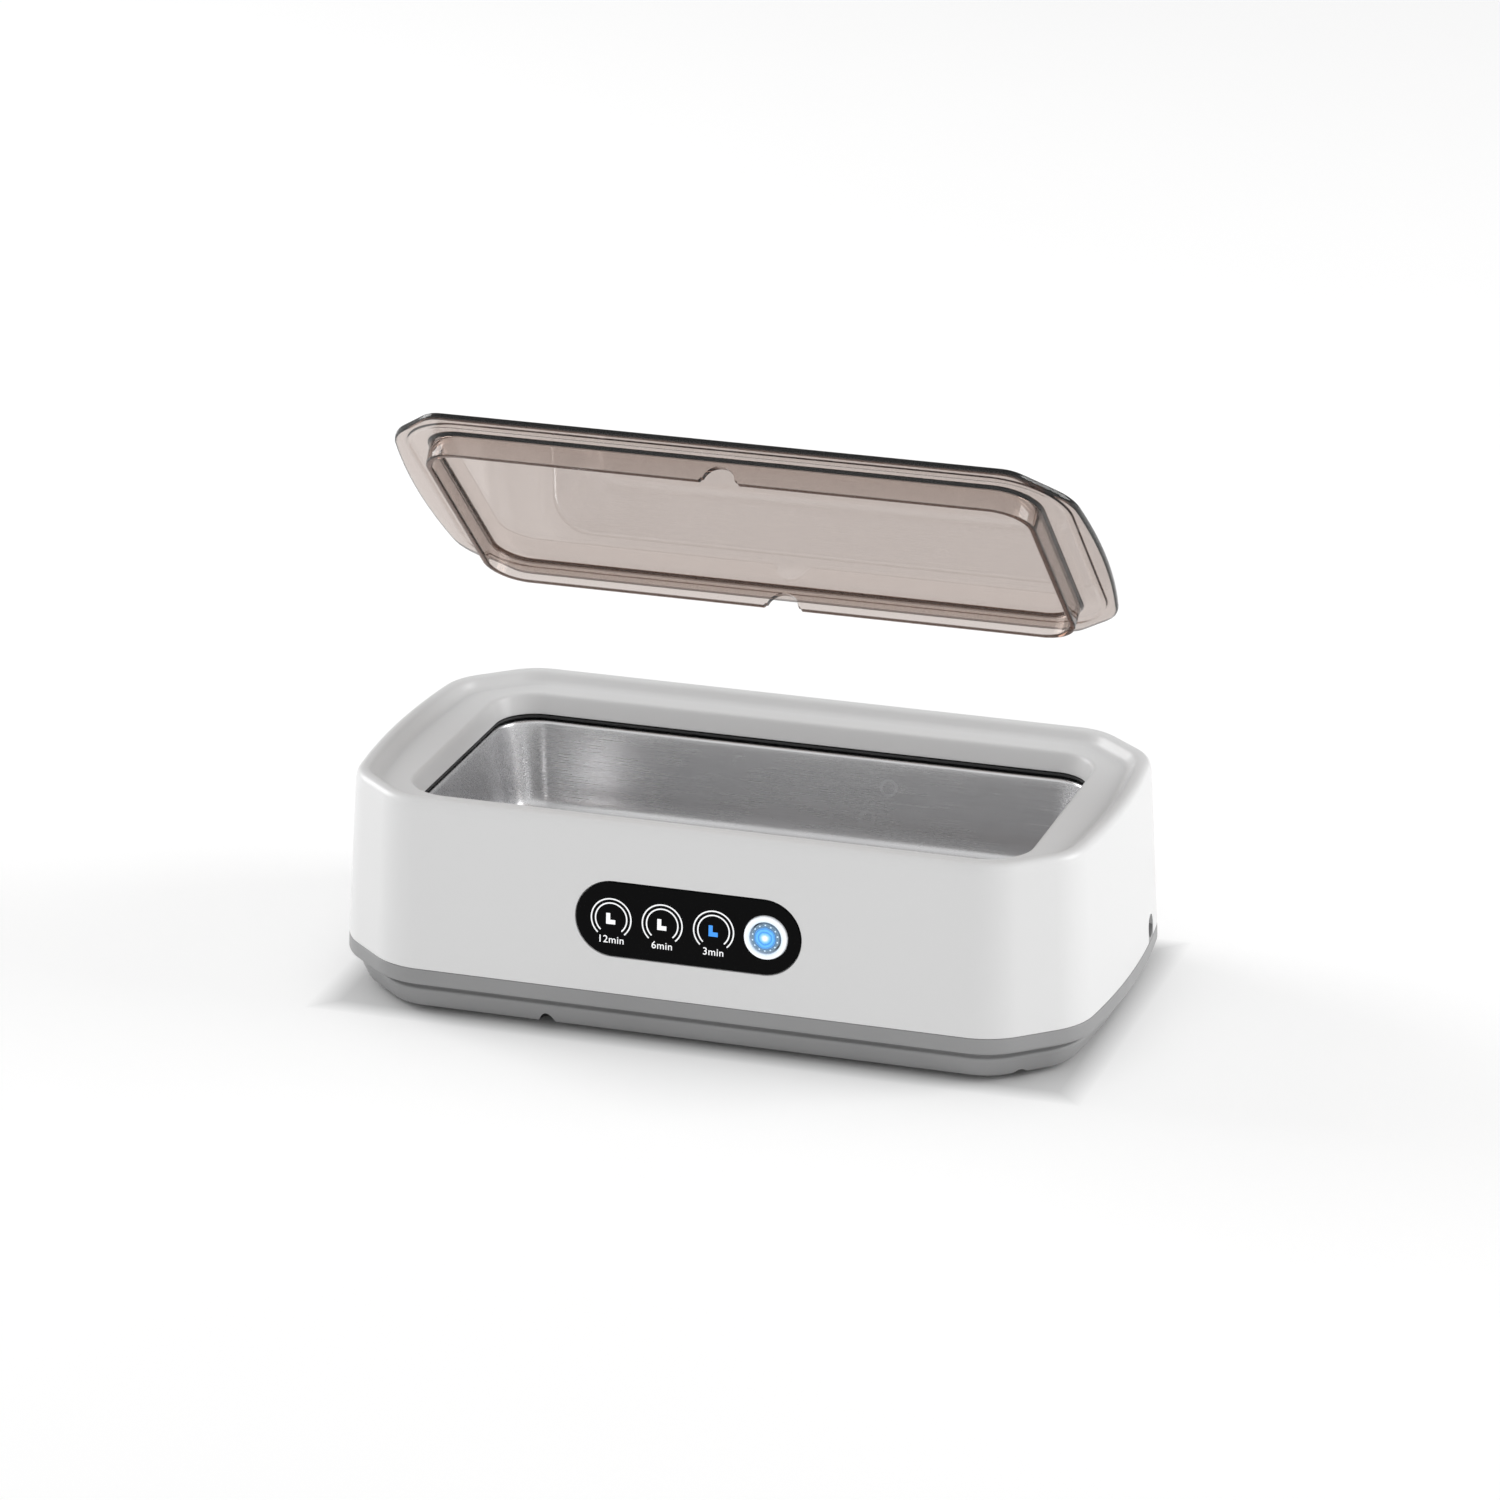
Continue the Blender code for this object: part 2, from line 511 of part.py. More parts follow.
boolean(lower_housing, jack_hole, "DIFFERENCE")

# ---- feet and housing screws ----------------------------------------------------------------------
for i, (x, y) in enumerate(FEET, 1):
    turned("foot_%d" % i, [(5.2, 0.0), (5.7, 0.5), (5.7, FOOT_H + 0.6)], M_RUBBER, 20, loc=(x, y, 0))
for i, (x, y, r) in enumerate(HOUSING_SCREWS, 1):
    turned("housing_screw_%d" % i, [(1.7, 5.5), (2.2, 6.1), (2.2, 7.2), (1.2, 7.2), (1.2, 19.0)], M_SCREW,
           12, loc=(x, y, 0))

# ---- steel tank, its gasket, clamp frame and screws ---------------------------------------------------
T = TANK_T
tk = [rr(TX - 9.4, TY - 9.4, 5.0, TANK_FLOOR_Z), rr(TX - 7.2, TY - 7.2, 6.0, TANK_FLOOR_Z + 0.15),
      rr(TX - 5.2, TY - 5.2, 7.4, TANK_FLOOR_Z + 1.0), rr(TX - 3.8, TY - 3.8, 8.6, TANK_FLOOR_Z + 2.7),
      rr(TX - 3.2, TY - 3.2, 9.0, TANK_FLOOR_Z + 5.0), rr(TX, TY, 10.6, TANK_TOP_Z - 1.2),
      rr(TX + 0.35, TY + 0.35, 10.9, TANK_TOP_Z - 0.35), rr(TX + 1.2, TY + 1.2, 11.7, TANK_TOP_Z),
      rr(TX + 3.8, TY + 3.8, 14.0, TANK_TOP_Z), rr(TX + 3.8, TY + 3.8, 14.0, TANK_TOP_Z - T),
      rr(TX + 1.5, TY + 1.5, 12.0, TANK_TOP_Z - T), rr(TX + T, TY + T, 11.3, TANK_TOP_Z - 1.6),
      rr(TX - 3.2 + T, TY - 3.2 + T, 9.8, TANK_FLOOR_Z + 4.9),
      rr(TX - 3.1, TY - 3.1, 9.3, TANK_FLOOR_Z + 2.3),
      rr(TX - 4.6, TY - 4.6, 8.0, TANK_FLOOR_Z + 0.4), rr(TX - 6.9, TY - 6.9, 6.4, TANK_FLOOR_Z - T + 0.1),
      rr(TX - 9.2, TY - 9.2, 5.2, TANK_FLOOR_Z - T)]
tank = add("tank", loft("tank", tk), M_STEEL, smooth=50)
gz0, gz1 = TANK_TOP_Z + GAP, WELL_FOOT_Z - GAP
gasket = add("tank_gasket", loft("tank_gasket", [
    rr(WX + 0.5, WY + 0.5, 11.4, gz0), rr(WX + 0.5, WY + 0.5, 11.4, gz1),
    rr(WX + 3.6, WY + 3.6, 14.0, gz1), rr(WX + 3.6, WY + 3.6, 14.0, gz0)], closed=True), M_GASKET)
cz1 = TANK_TOP_Z - T - GAP
cz0 = cz1 - 2.5
clamp = add("clamp_frame", loft("clamp_frame", [
    rr(TX + 1.6, TY + 1.6, 12.4, cz0), rr(TX + 1.9, TY + 1.9, 12.6, cz1),
    rr(TX + 6.8, TY + 5.9, 16.0, cz1), rr(TX + 6.8, TY + 5.9, 16.0, cz0)], closed=True), M_CLAMP)
ears = add("clamp_ears", rods("clamp_ears", [(x, y, 4.0, cz0 + 0.01, cz1 - 0.01) for x, y in CLAMP_SCREWS]),
           coll=TOOLS)
boolean(clamp, ears, "UNION")
ear_holes = add("clamp_holes", rods("clamp_holes", [(x, y, 1.6, cz0 - 2, cz1 + 2) for x, y in CLAMP_SCREWS],
                12), coll=TOOLS)
boolean(clamp, ear_holes, "DIFFERENCE")
for i, (x, y) in enumerate(CLAMP_SCREWS, 1):
    turned("clamp_screw_%d" % i, [(2.2, cz0 - 1.8), (2.2, cz0 - GAP), (1.2, cz0 - GAP),
                                  (1.2, LEDGE_Z - 3.2)], M_SCREW, 10, loc=(x, y, 0))

# ---- transducer -----------------------------------------------------------------------------------
tb = TANK_FLOOR_Z - T
turned("transducer_bond", [(PIEZO_D / 2 + 0.6, tb - GAP - 0.5), (PIEZO_D / 2 + 0.6, tb - GAP)], M_BOND, 28)
pz1 = tb - 2 * GAP - 0.5
turned("piezo_disc", [(PIEZO_D / 2, pz1 - PIEZO_T), (PIEZO_D / 2, pz1)], M_PIEZO, 28)

# ---- main board and what stands on it -------------------------------------------------------------
bz = BOARD_Z + 1.6 + GAP
main_board = add("main_board", blocks("main_board", [(-72, 0, -25, 25, BOARD_Z, BOARD_Z + 1.6)]), M_PCB)
bh = add("board_holes", rods("board_holes", [(x, y, 1.5, BOARD_Z - 2, BOARD_Z + 4) for x, y in BOARD_SCREWS],
         12), coll=TOOLS)
boolean(main_board, bh, "DIFFERENCE")
for i, (x, y) in enumerate(BOARD_SCREWS, 1):
    turned("board_screw_%d" % i, [(1.1, 5.2), (1.1, bz), (2.1, bz), (2.1, bz + 1.4)], M_SCREW, 10,
           loc=(x, y, 0))
trafo = add("transformer", blocks("transformer", [(-59, -43, 3, 19, bz, bz + 9.2)]), M_FERR)
bevel(trafo, 0.8, 1)
turned("inductor", [(5.2, bz), (5.2, bz + 1.4), (4.2, bz + 1.4), (4.2, bz + 6.6), (5.2, bz + 6.6),
                    (5.2, bz + 8.0)], M_FERR, 16, loc=(-31, -15, 0))
turned("capacitor", [(3.9, 0), (4.4, 0.5), (4.4, 1.6), (4.1, 2.0), (4.4, 2.4), (4.4, 15.0)], M_CAP, 16, "X",
       loc=(-63, -10.5, bz + 4.5))
film = add("film_capacitor", blocks("film_capacitor", [(-22, -9, -20, -14.5, bz, bz + 7.5)]), M_FILM)
bevel(film, 0.6, 1)
sink = add("heat_sink", blocks("heat_sink", [(-38, -14, 16.0, 23.5, bz, bz + 9.0)]), M_SINK)
sink_slots = add("sink_slots", blocks("sink_slots", [(-36.2 + 4.1 * k, -34.0 + 4.1 * k, 18.4, 25.0, bz - 1.0,
                                                      bz + 11.0) for k in range(5)]), coll=TOOLS)
boolean(sink, sink_slots, "DIFFERENCE")
add("power_transistor", blocks("power_transistor", [(-31, -21, 11.2, 15.7, bz, bz + 8.6)]), M_CHIP)
conns = {"jack_connector": (-8.0, -1.5, 4.0, 11.5), "transducer_connector": (-10.0, -3.5, -6.5, 1.0),
         "control_connector": (-47.0, -37.0, -24.0, -18.5)}
for nm, (x0, x1, y0, y1) in conns.items():
    c = add(nm, blocks(nm, [(x0, x1, y0, y1, bz, bz + 5.0)]), M_CONN)
    bevel(c, 0.4, 1)

# ---- power inlet ----------------------------------------------------------------------------------
jack = add("power_jack", blocks("power_jack", [(JX - 13.5, JX, JACK_Y - JR, JACK_Y + JR, JACK_Z - JR,
                                               JACK_Z + JR)]), M_JACK)
bore = turned("jack_bore", [(JACK_HOLE_D / 2, 0), (JACK_HOLE_D / 2, 12)], None, 20, "X", coll=TOOLS,
              loc=(JX - 9.5, JACK_Y, JACK_Z))
pin_way = turned("jack_pin_way", [(1.35, 0), (1.35, 12)], None, 10, "X", coll=TOOLS,
                 loc=(JX - 16.0, JACK_Y, JACK_Z))
boolean(jack, bore, "DIFFERENCE")
boolean(jack, pin_way, "DIFFERENCE")
turned("jack_pin", [(1.0, -2.2), (1.0, 8.5), (0.6, 9.0)], M_PIN, 10, "X", loc=(JX - 13.5, JACK_Y, JACK_Z))
leaf = add("jack_leaf", blocks("jack_leaf", [(JX - 16.0, JX - 13.8, JACK_Y - 4.2, JACK_Y - 2.2, JACK_Z - 2.5,
                                             JACK_Z - 1.9)]), M_PIN)

# ---- wiring ---------------------------------------------------------------------------------------
tube("wire_supply_red", [(JX - 16.5, JACK_Y + 0.2, JACK_Z), (JX - 24, 21.5, 14.5), (50, 17, 9.5),
                         (18, 11, 10.5), (-0.6, 9.6, bz + 2.6)], 0.75, M_RED)
tube("wire_supply_black", [(JX - 16.1, JACK_Y - 4.9, JACK_Z - 2.2), (JX - 24, 17.0, 12.0), (50, 12.5, 7.6),
                           (18, 7.6, 9.0), (-0.6, 6.2, bz + 2.6)], 0.75, M_BLACK)
tube("wire_piezo_yellow", [(9.0, 3.0, pz1 - PIEZO_T - 1.1), (5.0, 1.6, 16.2), (1.0, -0.6, 14.0),
                           (-2.6, -1.2, bz + 2.6)], 0.6, M_YEL)
tube("wire_piezo_blue", [(9.0, -10.0, pz1 - PIEZO_T - 1.1), (5.0, -8.0, 16.0), (1.0, -5.6, 13.8),
                         (-2.6, -4.4, bz + 2.6)], 0.6, M_BLUE)
path = [(-43.6, 27.0), (-43.4, 22.0), (-41.6, 17.6), (-37.6, 14.4), (-32.0, 13.0), (-24.3, 12.9)]
rib = []
for i, (y, z) in enumerate(path):
    y0, z0 = path[max(i - 1, 0)]
    y1, z1 = path[min(i + 1, len(path) - 1)]
    ln = math.hypot(y1 - y0, z1 - z0)
    ny, nz = -(z1 - z0) / ln * 0.4, (y1 - y0) / ln * 0.4
    xs = -20.0 + (-42.0 + 20.0) * i / (len(path) - 1)
    rib.append([(xs - 4, y + ny, z + nz), (xs + 4, y + ny, z + nz), (xs + 4, y - ny, z - nz),
                (xs - 4, y - ny, z - nz)])
add("ribbon_cable", loft("ribbon_cable", rib), M_RIB)

# ---- control panel, button and its board (children of the leaning panel frame) ------------------------
panel = add("panel_lens", slab("panel_lens", PANEL_W / 2, PANEL_H / 2, -0.25, -0.25 + PANEL_T), M_PANEL,
            parent=panel_axis, smooth=30)
bevel(panel, 0.2, 1, 60)
btn_hole = turned("button_hole", [(BUTTON_D / 2 + GAP, 0), (BUTTON_D / 2 + GAP, 10)], None, 28, "Y",
                  coll=TOOLS, loc=(BUTTON_X, -5, 0), parent=panel_axis)
boolean(panel, btn_hole, "DIFFERENCE")
BR, BL = BUTTON_D / 2, BUTTON_LENS_D / 2
cap = turned("button_cap", [(BR - 0.4, -0.95), (BR, -0.55), (BR, 1.3), (BR + 0.8, 1.3), (BR + 0.8, 2.2)],
             M_BTN, 28, "Y", loc=(BUTTON_X, 0, 0), parent=panel_axis)
cap_bore = turned("cap_bore", [(BL + GAP, 0), (BL + GAP, 10)], None, 24, "Y", coll=TOOLS,
                  loc=(BUTTON_X, -5, 0), parent=panel_axis)
boolean(cap, cap_bore, "DIFFERENCE")
turned("button_lens", [(BL - 0.3, -0.85), (BL, -0.6), (BL, 3.4)], M_BLENS, 24, "Y", loc=(BUTTON_X, 0, 0),
       parent=panel_axis)
turned("switch_plunger", [(1.7, 3.7), (1.7, 6.6)], M_PLG, 12, "Y", loc=(BUTTON_X, 0, 0), parent=panel_axis)
sw = add("tact_switch", blocks("tact_switch", [(BUTTON_X - 3, BUTTON_X + 3, 5.0, 8.6, -3, 3)]), M_SW,
         parent=panel_axis)
sw_bore = turned("switch_bore", [(2.0, 3.0), (2.0, 7.6)], None, 12, "Y", coll=TOOLS, loc=(BUTTON_X, 0, 0),
                 parent=panel_axis)
boolean(sw, sw_bore, "DIFFERENCE")
for i, x in enumerate(DIAL_XS + (BUTTON_X + 4.9,), 1):
    add("led_%d" % i, blocks("led_%d" % i, [(x - 1.4, x + 1.4, 6.9, 8.6, -1.75, 1.75)]), M_LED,
        parent=panel_axis)
lf = add("light_frame", blocks("light_frame", [(-PX - 0.5, PX + 0.5, 3.0, 8.3, 0.5 - PZ, PZ - 0.5)]),
         M_FRAME, parent=panel_axis)
bevel(lf, 1.5, 2)
# round light wells behind the three dials and the button
bm = bmesh.new()
for x, r in [(DIAL_XS[0], 6.2), (DIAL_XS[1], 6.2), (DIAL_XS[2], 6.2), (BUTTON_X, BUTTON_D / 2 + 1.4)]:
    g = bmesh.ops.create_cone(bm, cap_ends=True, segments=24, radius1=r * MM, radius2=r * MM, depth=16 * MM)
    for v in g["verts"]:
        v.co = Vector((v.co.x + x * MM, v.co.z + 5 * MM, -v.co.y))
lf_holes = add("light_holes", finish(bm, "light_holes"), coll=TOOLS, parent=panel_axis)
boolean(lf, lf_holes, "DIFFERENCE")
add("control_board", blocks("control_board", [(-PX, PX, 8.9, 10.1, 1.1 - PZ, PZ - 1.1)]), M_CTRL,
    parent=panel_axis)

# ---- smoked lid: swings about one axis from the held-open pose down into the well ---------------------
# the axis is where both poses turn into each other by LID_TILT
tilt = math.radians(LID_TILT)
dy, dz = 0.0 - LID_OPEN_Y, LID_SEAT_Z - LID_OPEN_Z
ct = 0.5 / math.tan(tilt / 2)
AXIS_Y = LID_OPEN_Y + dy / 2 - ct * dz
AXIS_Z = LID_OPEN_Z + dz / 2 + ct * dy
lid_axis = bpy.data.objects.new("lid_axis", None)
PARTS.objects.link(lid_axis)
lid_axis.location = Vector((0, AXIS_Y, AXIS_Z)) * MM
KX, KY = SKIRT_L / 2, SKIRT_W / 2
LU = LID_PLATE_Z
ld = [rr(KX - 2.5, KY - 2.5, 9.0, LU), rr(KX - 1.95, KY - 1.95, 9.5, LU - 0.25),
      rr(KX - 1.8, KY - 1.8, 9.7, LU - 0.8),
      rr(KX - 2.15, KY - 2.1, 9.4, 0.3 - SKIRT_DROP), rr(KX - 1.95, KY - 1.9, 9.6, -SKIRT_DROP),
      rr(KX - 0.6, KY - 0.5, 10.7, -SKIRT_DROP), rr(KX - 0.4, KY - 0.3, 10.9, 0.3 - SKIRT_DROP),
      rr(KX, KY, 11.3, LU - 0.5), rr(KX + 0.35, KY + 0.3, 11.6, LU),
      rr(KX + 5.3, KY + 2.3, 15.2, LU), rr(KX + 5.9, KY + 2.8, 16.0, LU - 0.1),
      rr(KX + 6.4, KY + 3.3, 16.4, -0.9),
      lid_ring(0.5, -0.9), lid_ring(0.0, -0.45), lid_ring(0.0, 0.6), lid_ring(0.5, 1.1),
      rr(KX + 8.2, KY + 4.9, 19.5, 1.1), rr(KX + 7.4, KY + 4.1, 18.8, 1.17),
      rr(KX + 6.8, KY + 3.5, 18.4, LU + LID_T)]
lid = add("lid", loft("lid", ld), M_LID, loc=(0, LID_OPEN_Y - AXIS_Y, LID_OPEN_Z - AXIS_Z), rot=(-tilt, 0, 0),
          parent=lid_axis, smooth=35)
notch = turned("lid_notch", [(NOTCH_R, -KY - 20), (NOTCH_R, KY + 20)], None, 24, "Y", coll=TOOLS,
               loc=(0, 0, -SKIRT_DROP - 0.8), parent=lid)
boolean(lid, notch, "DIFFERENCE")
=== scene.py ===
import json
import math
import bpy
import bmesh
import numpy as np
from mathutils import Matrix, Vector


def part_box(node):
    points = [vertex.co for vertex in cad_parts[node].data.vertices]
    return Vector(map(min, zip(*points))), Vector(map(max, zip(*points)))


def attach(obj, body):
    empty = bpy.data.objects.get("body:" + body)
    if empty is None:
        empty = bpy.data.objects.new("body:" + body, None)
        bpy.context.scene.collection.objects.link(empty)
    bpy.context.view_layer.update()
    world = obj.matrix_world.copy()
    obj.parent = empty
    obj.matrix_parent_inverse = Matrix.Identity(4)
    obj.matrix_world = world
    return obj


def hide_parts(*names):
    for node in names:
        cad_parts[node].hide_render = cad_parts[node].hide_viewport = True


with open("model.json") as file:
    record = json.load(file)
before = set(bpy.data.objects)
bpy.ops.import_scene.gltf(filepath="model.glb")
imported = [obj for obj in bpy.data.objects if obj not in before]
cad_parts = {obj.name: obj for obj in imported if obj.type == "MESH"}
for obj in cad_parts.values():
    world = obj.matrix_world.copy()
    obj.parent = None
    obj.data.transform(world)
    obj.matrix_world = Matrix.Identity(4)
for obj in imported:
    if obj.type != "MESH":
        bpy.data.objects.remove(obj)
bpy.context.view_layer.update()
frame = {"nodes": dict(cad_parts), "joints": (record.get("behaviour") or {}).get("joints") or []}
SCENE = bpy.context.scene
MM = 0.001


def span(node):
    """Lowest and highest corner of a CAD node, in millimetres."""
    lo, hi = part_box(node)
    return np.array(lo) * 1000, np.array(hi) * 1000


# ---- places, read from the frame ----------------------------------------------------------------------
base_lo, base_hi = span("lower_housing")
HALF_L, HALF_W = base_hi[0] - 0.2, base_hi[1] - 0.2
FOOT_H = base_lo[2]
TOP = span("upper_shell")[1][2]
LEDGE_DROP, WELL_DEPTH = 3.1, 5.5                      # rim to ledge, ledge to foot of well
LEDGE = TOP - LEDGE_DROP
WELL_FOOT = LEDGE - WELL_DEPTH
PART, BAND = 14.2, 10.0                                # seam under the shell, lower edge of the grey band
DRAFT = 2.7                                            # how far the wall leans in between seam and rim
BASE_T, TANK_T, TANK_FLANGE = 2.4, 0.8, 3.8
MOUTH_X, MOUTH_Y = 0.4, 0.45                           # how far the well stands back from the tank's mouth
tank_lo, tank_hi = span("tank")
TANK_TOP = tank_hi[2]
TX, TY = tank_hi[0] - TANK_FLANGE, tank_hi[1] - TANK_FLANGE
TANK_FLOOR = tank_lo[2] + TANK_T
WX, WY = TX + MOUTH_X, TY + MOUTH_Y
JOINTS = {j["name"]: j for j in frame["joints"]}
PRESS = Vector(JOINTS["button_press"]["axis"])
pl, ph = span("panel_lens")
PANEL_RAISE, PANEL_SHIFT, PANEL_TRIM = 0.35, 0.15, 0.3  # out along the button's axis, to the left, each side
PANEL_C = Vector((pl + ph) / 2) - PRESS * PANEL_RAISE
PANEL_C.x -= PANEL_SHIFT
PANEL_HW = (ph[0] - pl[0]) / 2 - PANEL_TRIM
PANEL_HH = 10.1
cl, ch = span("button_cap")
BUTTON_X = (cl[0] + ch[0]) / 2
jl, jh = span("power_jack")
JACK = Vector((jh[0], (jl[1] + jh[1]) / 2, (jl[2] + jh[2]) / 2))
BODY_CORNER = (22.3, 17.1, 19.6, 19.4, 3.1)            # cut along x and y, two blend radii, swell of the end
LID_HALF_L, LID_HALF_W = 94.95, 47.45
LID_CORNER = (16.4, 13.1, 8.0, 15.5, 2.74)


# ---- mesh helpers -------------------------------------------------------------------------------------
N_FRONT, N_FIL, N_CH, N_END = 8, 10, 3, 12              # points on side, blend, cut corner and end
AXIS_R = 0.002                                         # smallest radius of a turned profile
TOOLS = []


def quarter_full(q):
    """Mirror a quarter of an outline into all four corners."""
    return (q[:-1] + [(x, -y) for x, y in reversed(q)][:-1]
            + [(-x, -y) for x, y in q][:-1] + [(-x, y) for x, y in reversed(q)][:-1])


def arc(cx, cy, r, a0, a1, n):
    return [(cx + r * math.cos(a0 + (a1 - a0) * k / n), cy + r * math.sin(a0 + (a1 - a0) * k / n))
            for k in range(n + 1)]


def outline(a, b, cx, cy, r1, r2, bulge, d):
    """Rectangle with cut, blended corners and swollen short ends, moved inward by d."""
    v1, v2 = Vector((a - cx, b)), Vector((a - bulge, b - cy))
    u = (v2 - v1).normalized()
    nrm = Vector((-u.y, u.x))
    ang = math.atan2(nrm.y, nrm.x)
    half = b - cy
    big = (half * half + bulge * bulge) / (2 * bulge)
    c1y = b - r1
    c1x = (nrm.dot(v1) - r1 - nrm.y * c1y) / nrm.x
    ocx, lo, hi = a - big, 0.0, half
    for _ in range(60):
        mid = (lo + hi) / 2
        c2x = (nrm.dot(v1) - r2 - nrm.y * mid) / nrm.x
        if math.hypot(c2x - ocx, mid) > big - r2:
            lo = mid
        else:
            hi = mid
    a_end = math.atan2(mid, c2x - ocx)
    q = [(c1x * i / N_FRONT, b - d) for i in range(N_FRONT)]
    f1 = arc(c1x, c1y, r1 - d, math.pi / 2, ang, N_FIL)
    f2 = arc(c2x, mid, r2 - d, ang, a_end, N_FIL)
    q += f1
    q += [(f1[-1][0] + (f2[0][0] - f1[-1][0]) * i / N_CH, f1[-1][1] + (f2[0][1] - f1[-1][1]) * i / N_CH)
          for i in range(1, N_CH)]
    q += f2 + arc(ocx, 0, big - d, a_end, 0.0, N_END)[1:]
    return quarter_full(q)


def rr(hx, hy, r, z):
    """Rounded rectangle ring with as many points as the outline."""
    q = [((hx - r) * i / N_FRONT, hy) for i in range(N_FRONT)]
    q += arc(hx - r, hy - r, r, math.pi / 2, 0.0, 2 * N_FIL + N_CH)
    q += [(hx, (hy - r) * (1 - i / N_END)) for i in range(1, N_END + 1)]
    return [(x, y, z) for x, y in quarter_full(q)]


def body(d, z):
    """Ring of the body's outline, d inside it at height z."""
    return [(x, y, z) for x, y in outline(HALF_L, HALF_W, *BODY_CORNER, d)]


def lid_ring(d, z):
    """Ring of the lid's outline, d inside it at height z over the lid's origin."""
    return [(x, y, z) for x, y in outline(LID_HALF_L, LID_HALF_W, *LID_CORNER, d)]


def lean(z):
    """How far the wall has leaned in at height z."""
    return DRAFT * (z - PART) / (TOP - PART)


def soften(rings, times=2, closed=True):
    """Cut the corners of the profile, so that every edge gets a small radius."""
    a = np.array(rings, float)
    for _ in range(times):
        if closed:
            b = np.roll(a, -1, axis=0)
            a = np.stack([a * 0.75 + b * 0.25, a * 0.25 + b * 0.75], 1).reshape(-1, *a.shape[1:])
        else:
            b, c = a[:-1], a[1:]
            m = np.stack([b * 0.75 + c * 0.25, b * 0.25 + c * 0.75], 1).reshape(-1, *a.shape[1:])
            a = np.concatenate([a[:1], m, a[-1:]])
    return a


def link(name, me, mat=None):
    ob = bpy.data.objects.new(name, me)
    SCENE.collection.objects.link(ob)
    if mat:
        me.materials.append(mat)
    return ob


def from_bm(name, bm, mat=None, at=None, keep=True):
    bmesh.ops.recalc_face_normals(bm, faces=bm.faces)
    me = bpy.data.meshes.new(name)
    bm.to_mesh(me)
    bm.free()
    ob = link(name, me, mat)
    if at is not None and keep:
        ob.matrix_world = at
    elif at is not None:
        me.transform(at)
    return ob


def loft(name, rings, mat=None, closed=False, at=None, keep=True):
    """Skin a list of equal rings, capped at both ends or closed on itself."""
    n = len(rings[0])
    pts = np.array(rings, float).reshape(-1, 3) * MM
    bm = bmesh.new()
    vs = [bm.verts.new(p) for p in pts]
    rows = len(rings) if closed else len(rings) - 1
    for k in range(rows):
        a, b = k * n, ((k + 1) % len(rings)) * n
        for i in range(n):
            j = (i + 1) % n
            bm.faces.new((vs[a + i], vs[a + j], vs[b + j], vs[b + i]))
    if not closed:
        bm.faces.new(vs[:n][::-1])
        bm.faces.new(vs[-n:])
    return from_bm(name, bm, mat, at, keep)


def lathe(name, prof, mat=None, seg=64, at=None):
    """Spin (radius, height) pairs round local Z."""
    turns = [2 * math.pi * k / seg for k in range(seg)]
    rings = [[(max(r, AXIS_R) * math.cos(t), max(r, AXIS_R) * math.sin(t), h) for t in turns]
             for r, h in prof]
    return loft(name, rings, mat, False, at)


def boxes(name, items, mat=None, bevel=0.0):
    """Boxes from (x0, x1, y0, y1, z0, z1), in one mesh."""
    bm = bmesh.new()
    for x0, x1, y0, y1, z0, z1 in items:
        g = bmesh.ops.create_cube(bm, size=1.0)
        for v in g["verts"]:
            v.co = Vector(((x0 + x1) / 2 + v.co.x * (x1 - x0), (y0 + y1) / 2 + v.co.y * (y1 - y0),
                           (z0 + z1) / 2 + v.co.z * (z1 - z0))) * MM
    if bevel:
        bmesh.ops.bevel(bm, geom=bm.edges[:], offset=bevel * MM, segments=2, affect="EDGES", profile=0.5)
    return from_bm(name, bm, mat)


def rods(name, items):
    """Upright rods from (x, y, radius, z0, z1), in one mesh."""
    bm = bmesh.new()
    for x, y, r, z0, z1 in items:
        g = bmesh.ops.create_cone(bm, cap_ends=True, segments=40, radius1=r * MM, radius2=r * MM,
                                  depth=(z1 - z0) * MM)
        for v in g["verts"]:
            v.co += Vector((x, y, (z0 + z1) / 2)) * MM
    return from_bm(name, bm)


def combine(ob, tool, op="DIFFERENCE"):
    """Cut, join or limit a piece by a tool, which bake() removes."""
    m = ob.modifiers.new("b", "BOOLEAN")
    m.operation = op
    m.solver = "EXACT"
    m.object = tool
    tool.hide_render = True
    TOOLS.append(tool)


def bake(ob, angle=32, weighted=True):
    """Apply the modifiers, drop the cutters, shade smooth with sharp edges past an angle."""
    dg = bpy.context.evaluated_depsgraph_get()
    me = bpy.data.meshes.new_from_object(ob.evaluated_get(dg))
    ob.modifiers.clear()
    ob.data = me
    for t in TOOLS:
        bpy.data.objects.remove(t, do_unlink=True)
    TOOLS.clear()
    me.shade_smooth()
    me.set_sharp_from_angle(angle=math.radians(angle))
    if weighted:
        m = ob.modifiers.new("normals", "WEIGHTED_NORMAL")
        m.keep_sharp = True
        m.weight = 60
    return ob


def place(ob, body_name, slot, *nodes):
    """Put a piece on its body, in place of the CAD nodes it stands for; slot is not used."""
    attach(ob, body_name)
    if nodes:
        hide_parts(*nodes)
    return ob


# ---- material helpers ---------------------------------------------------------------------------------
def new_mat(name):
    m = bpy.data.materials.new(name)
    m.use_nodes = True
    return m, m.node_tree, m.node_tree.nodes["Principled BSDF"]


def coords(nt, scale=(1, 1, 1)):
    tc = nt.nodes.new("ShaderNodeTexCoord")
    mp = nt.nodes.new("ShaderNodeMapping")
    mp.inputs["Scale"].default_value = scale
    nt.links.new(tc.outputs["Object"], mp.inputs["Vector"])
    return mp.outputs["Vector"]


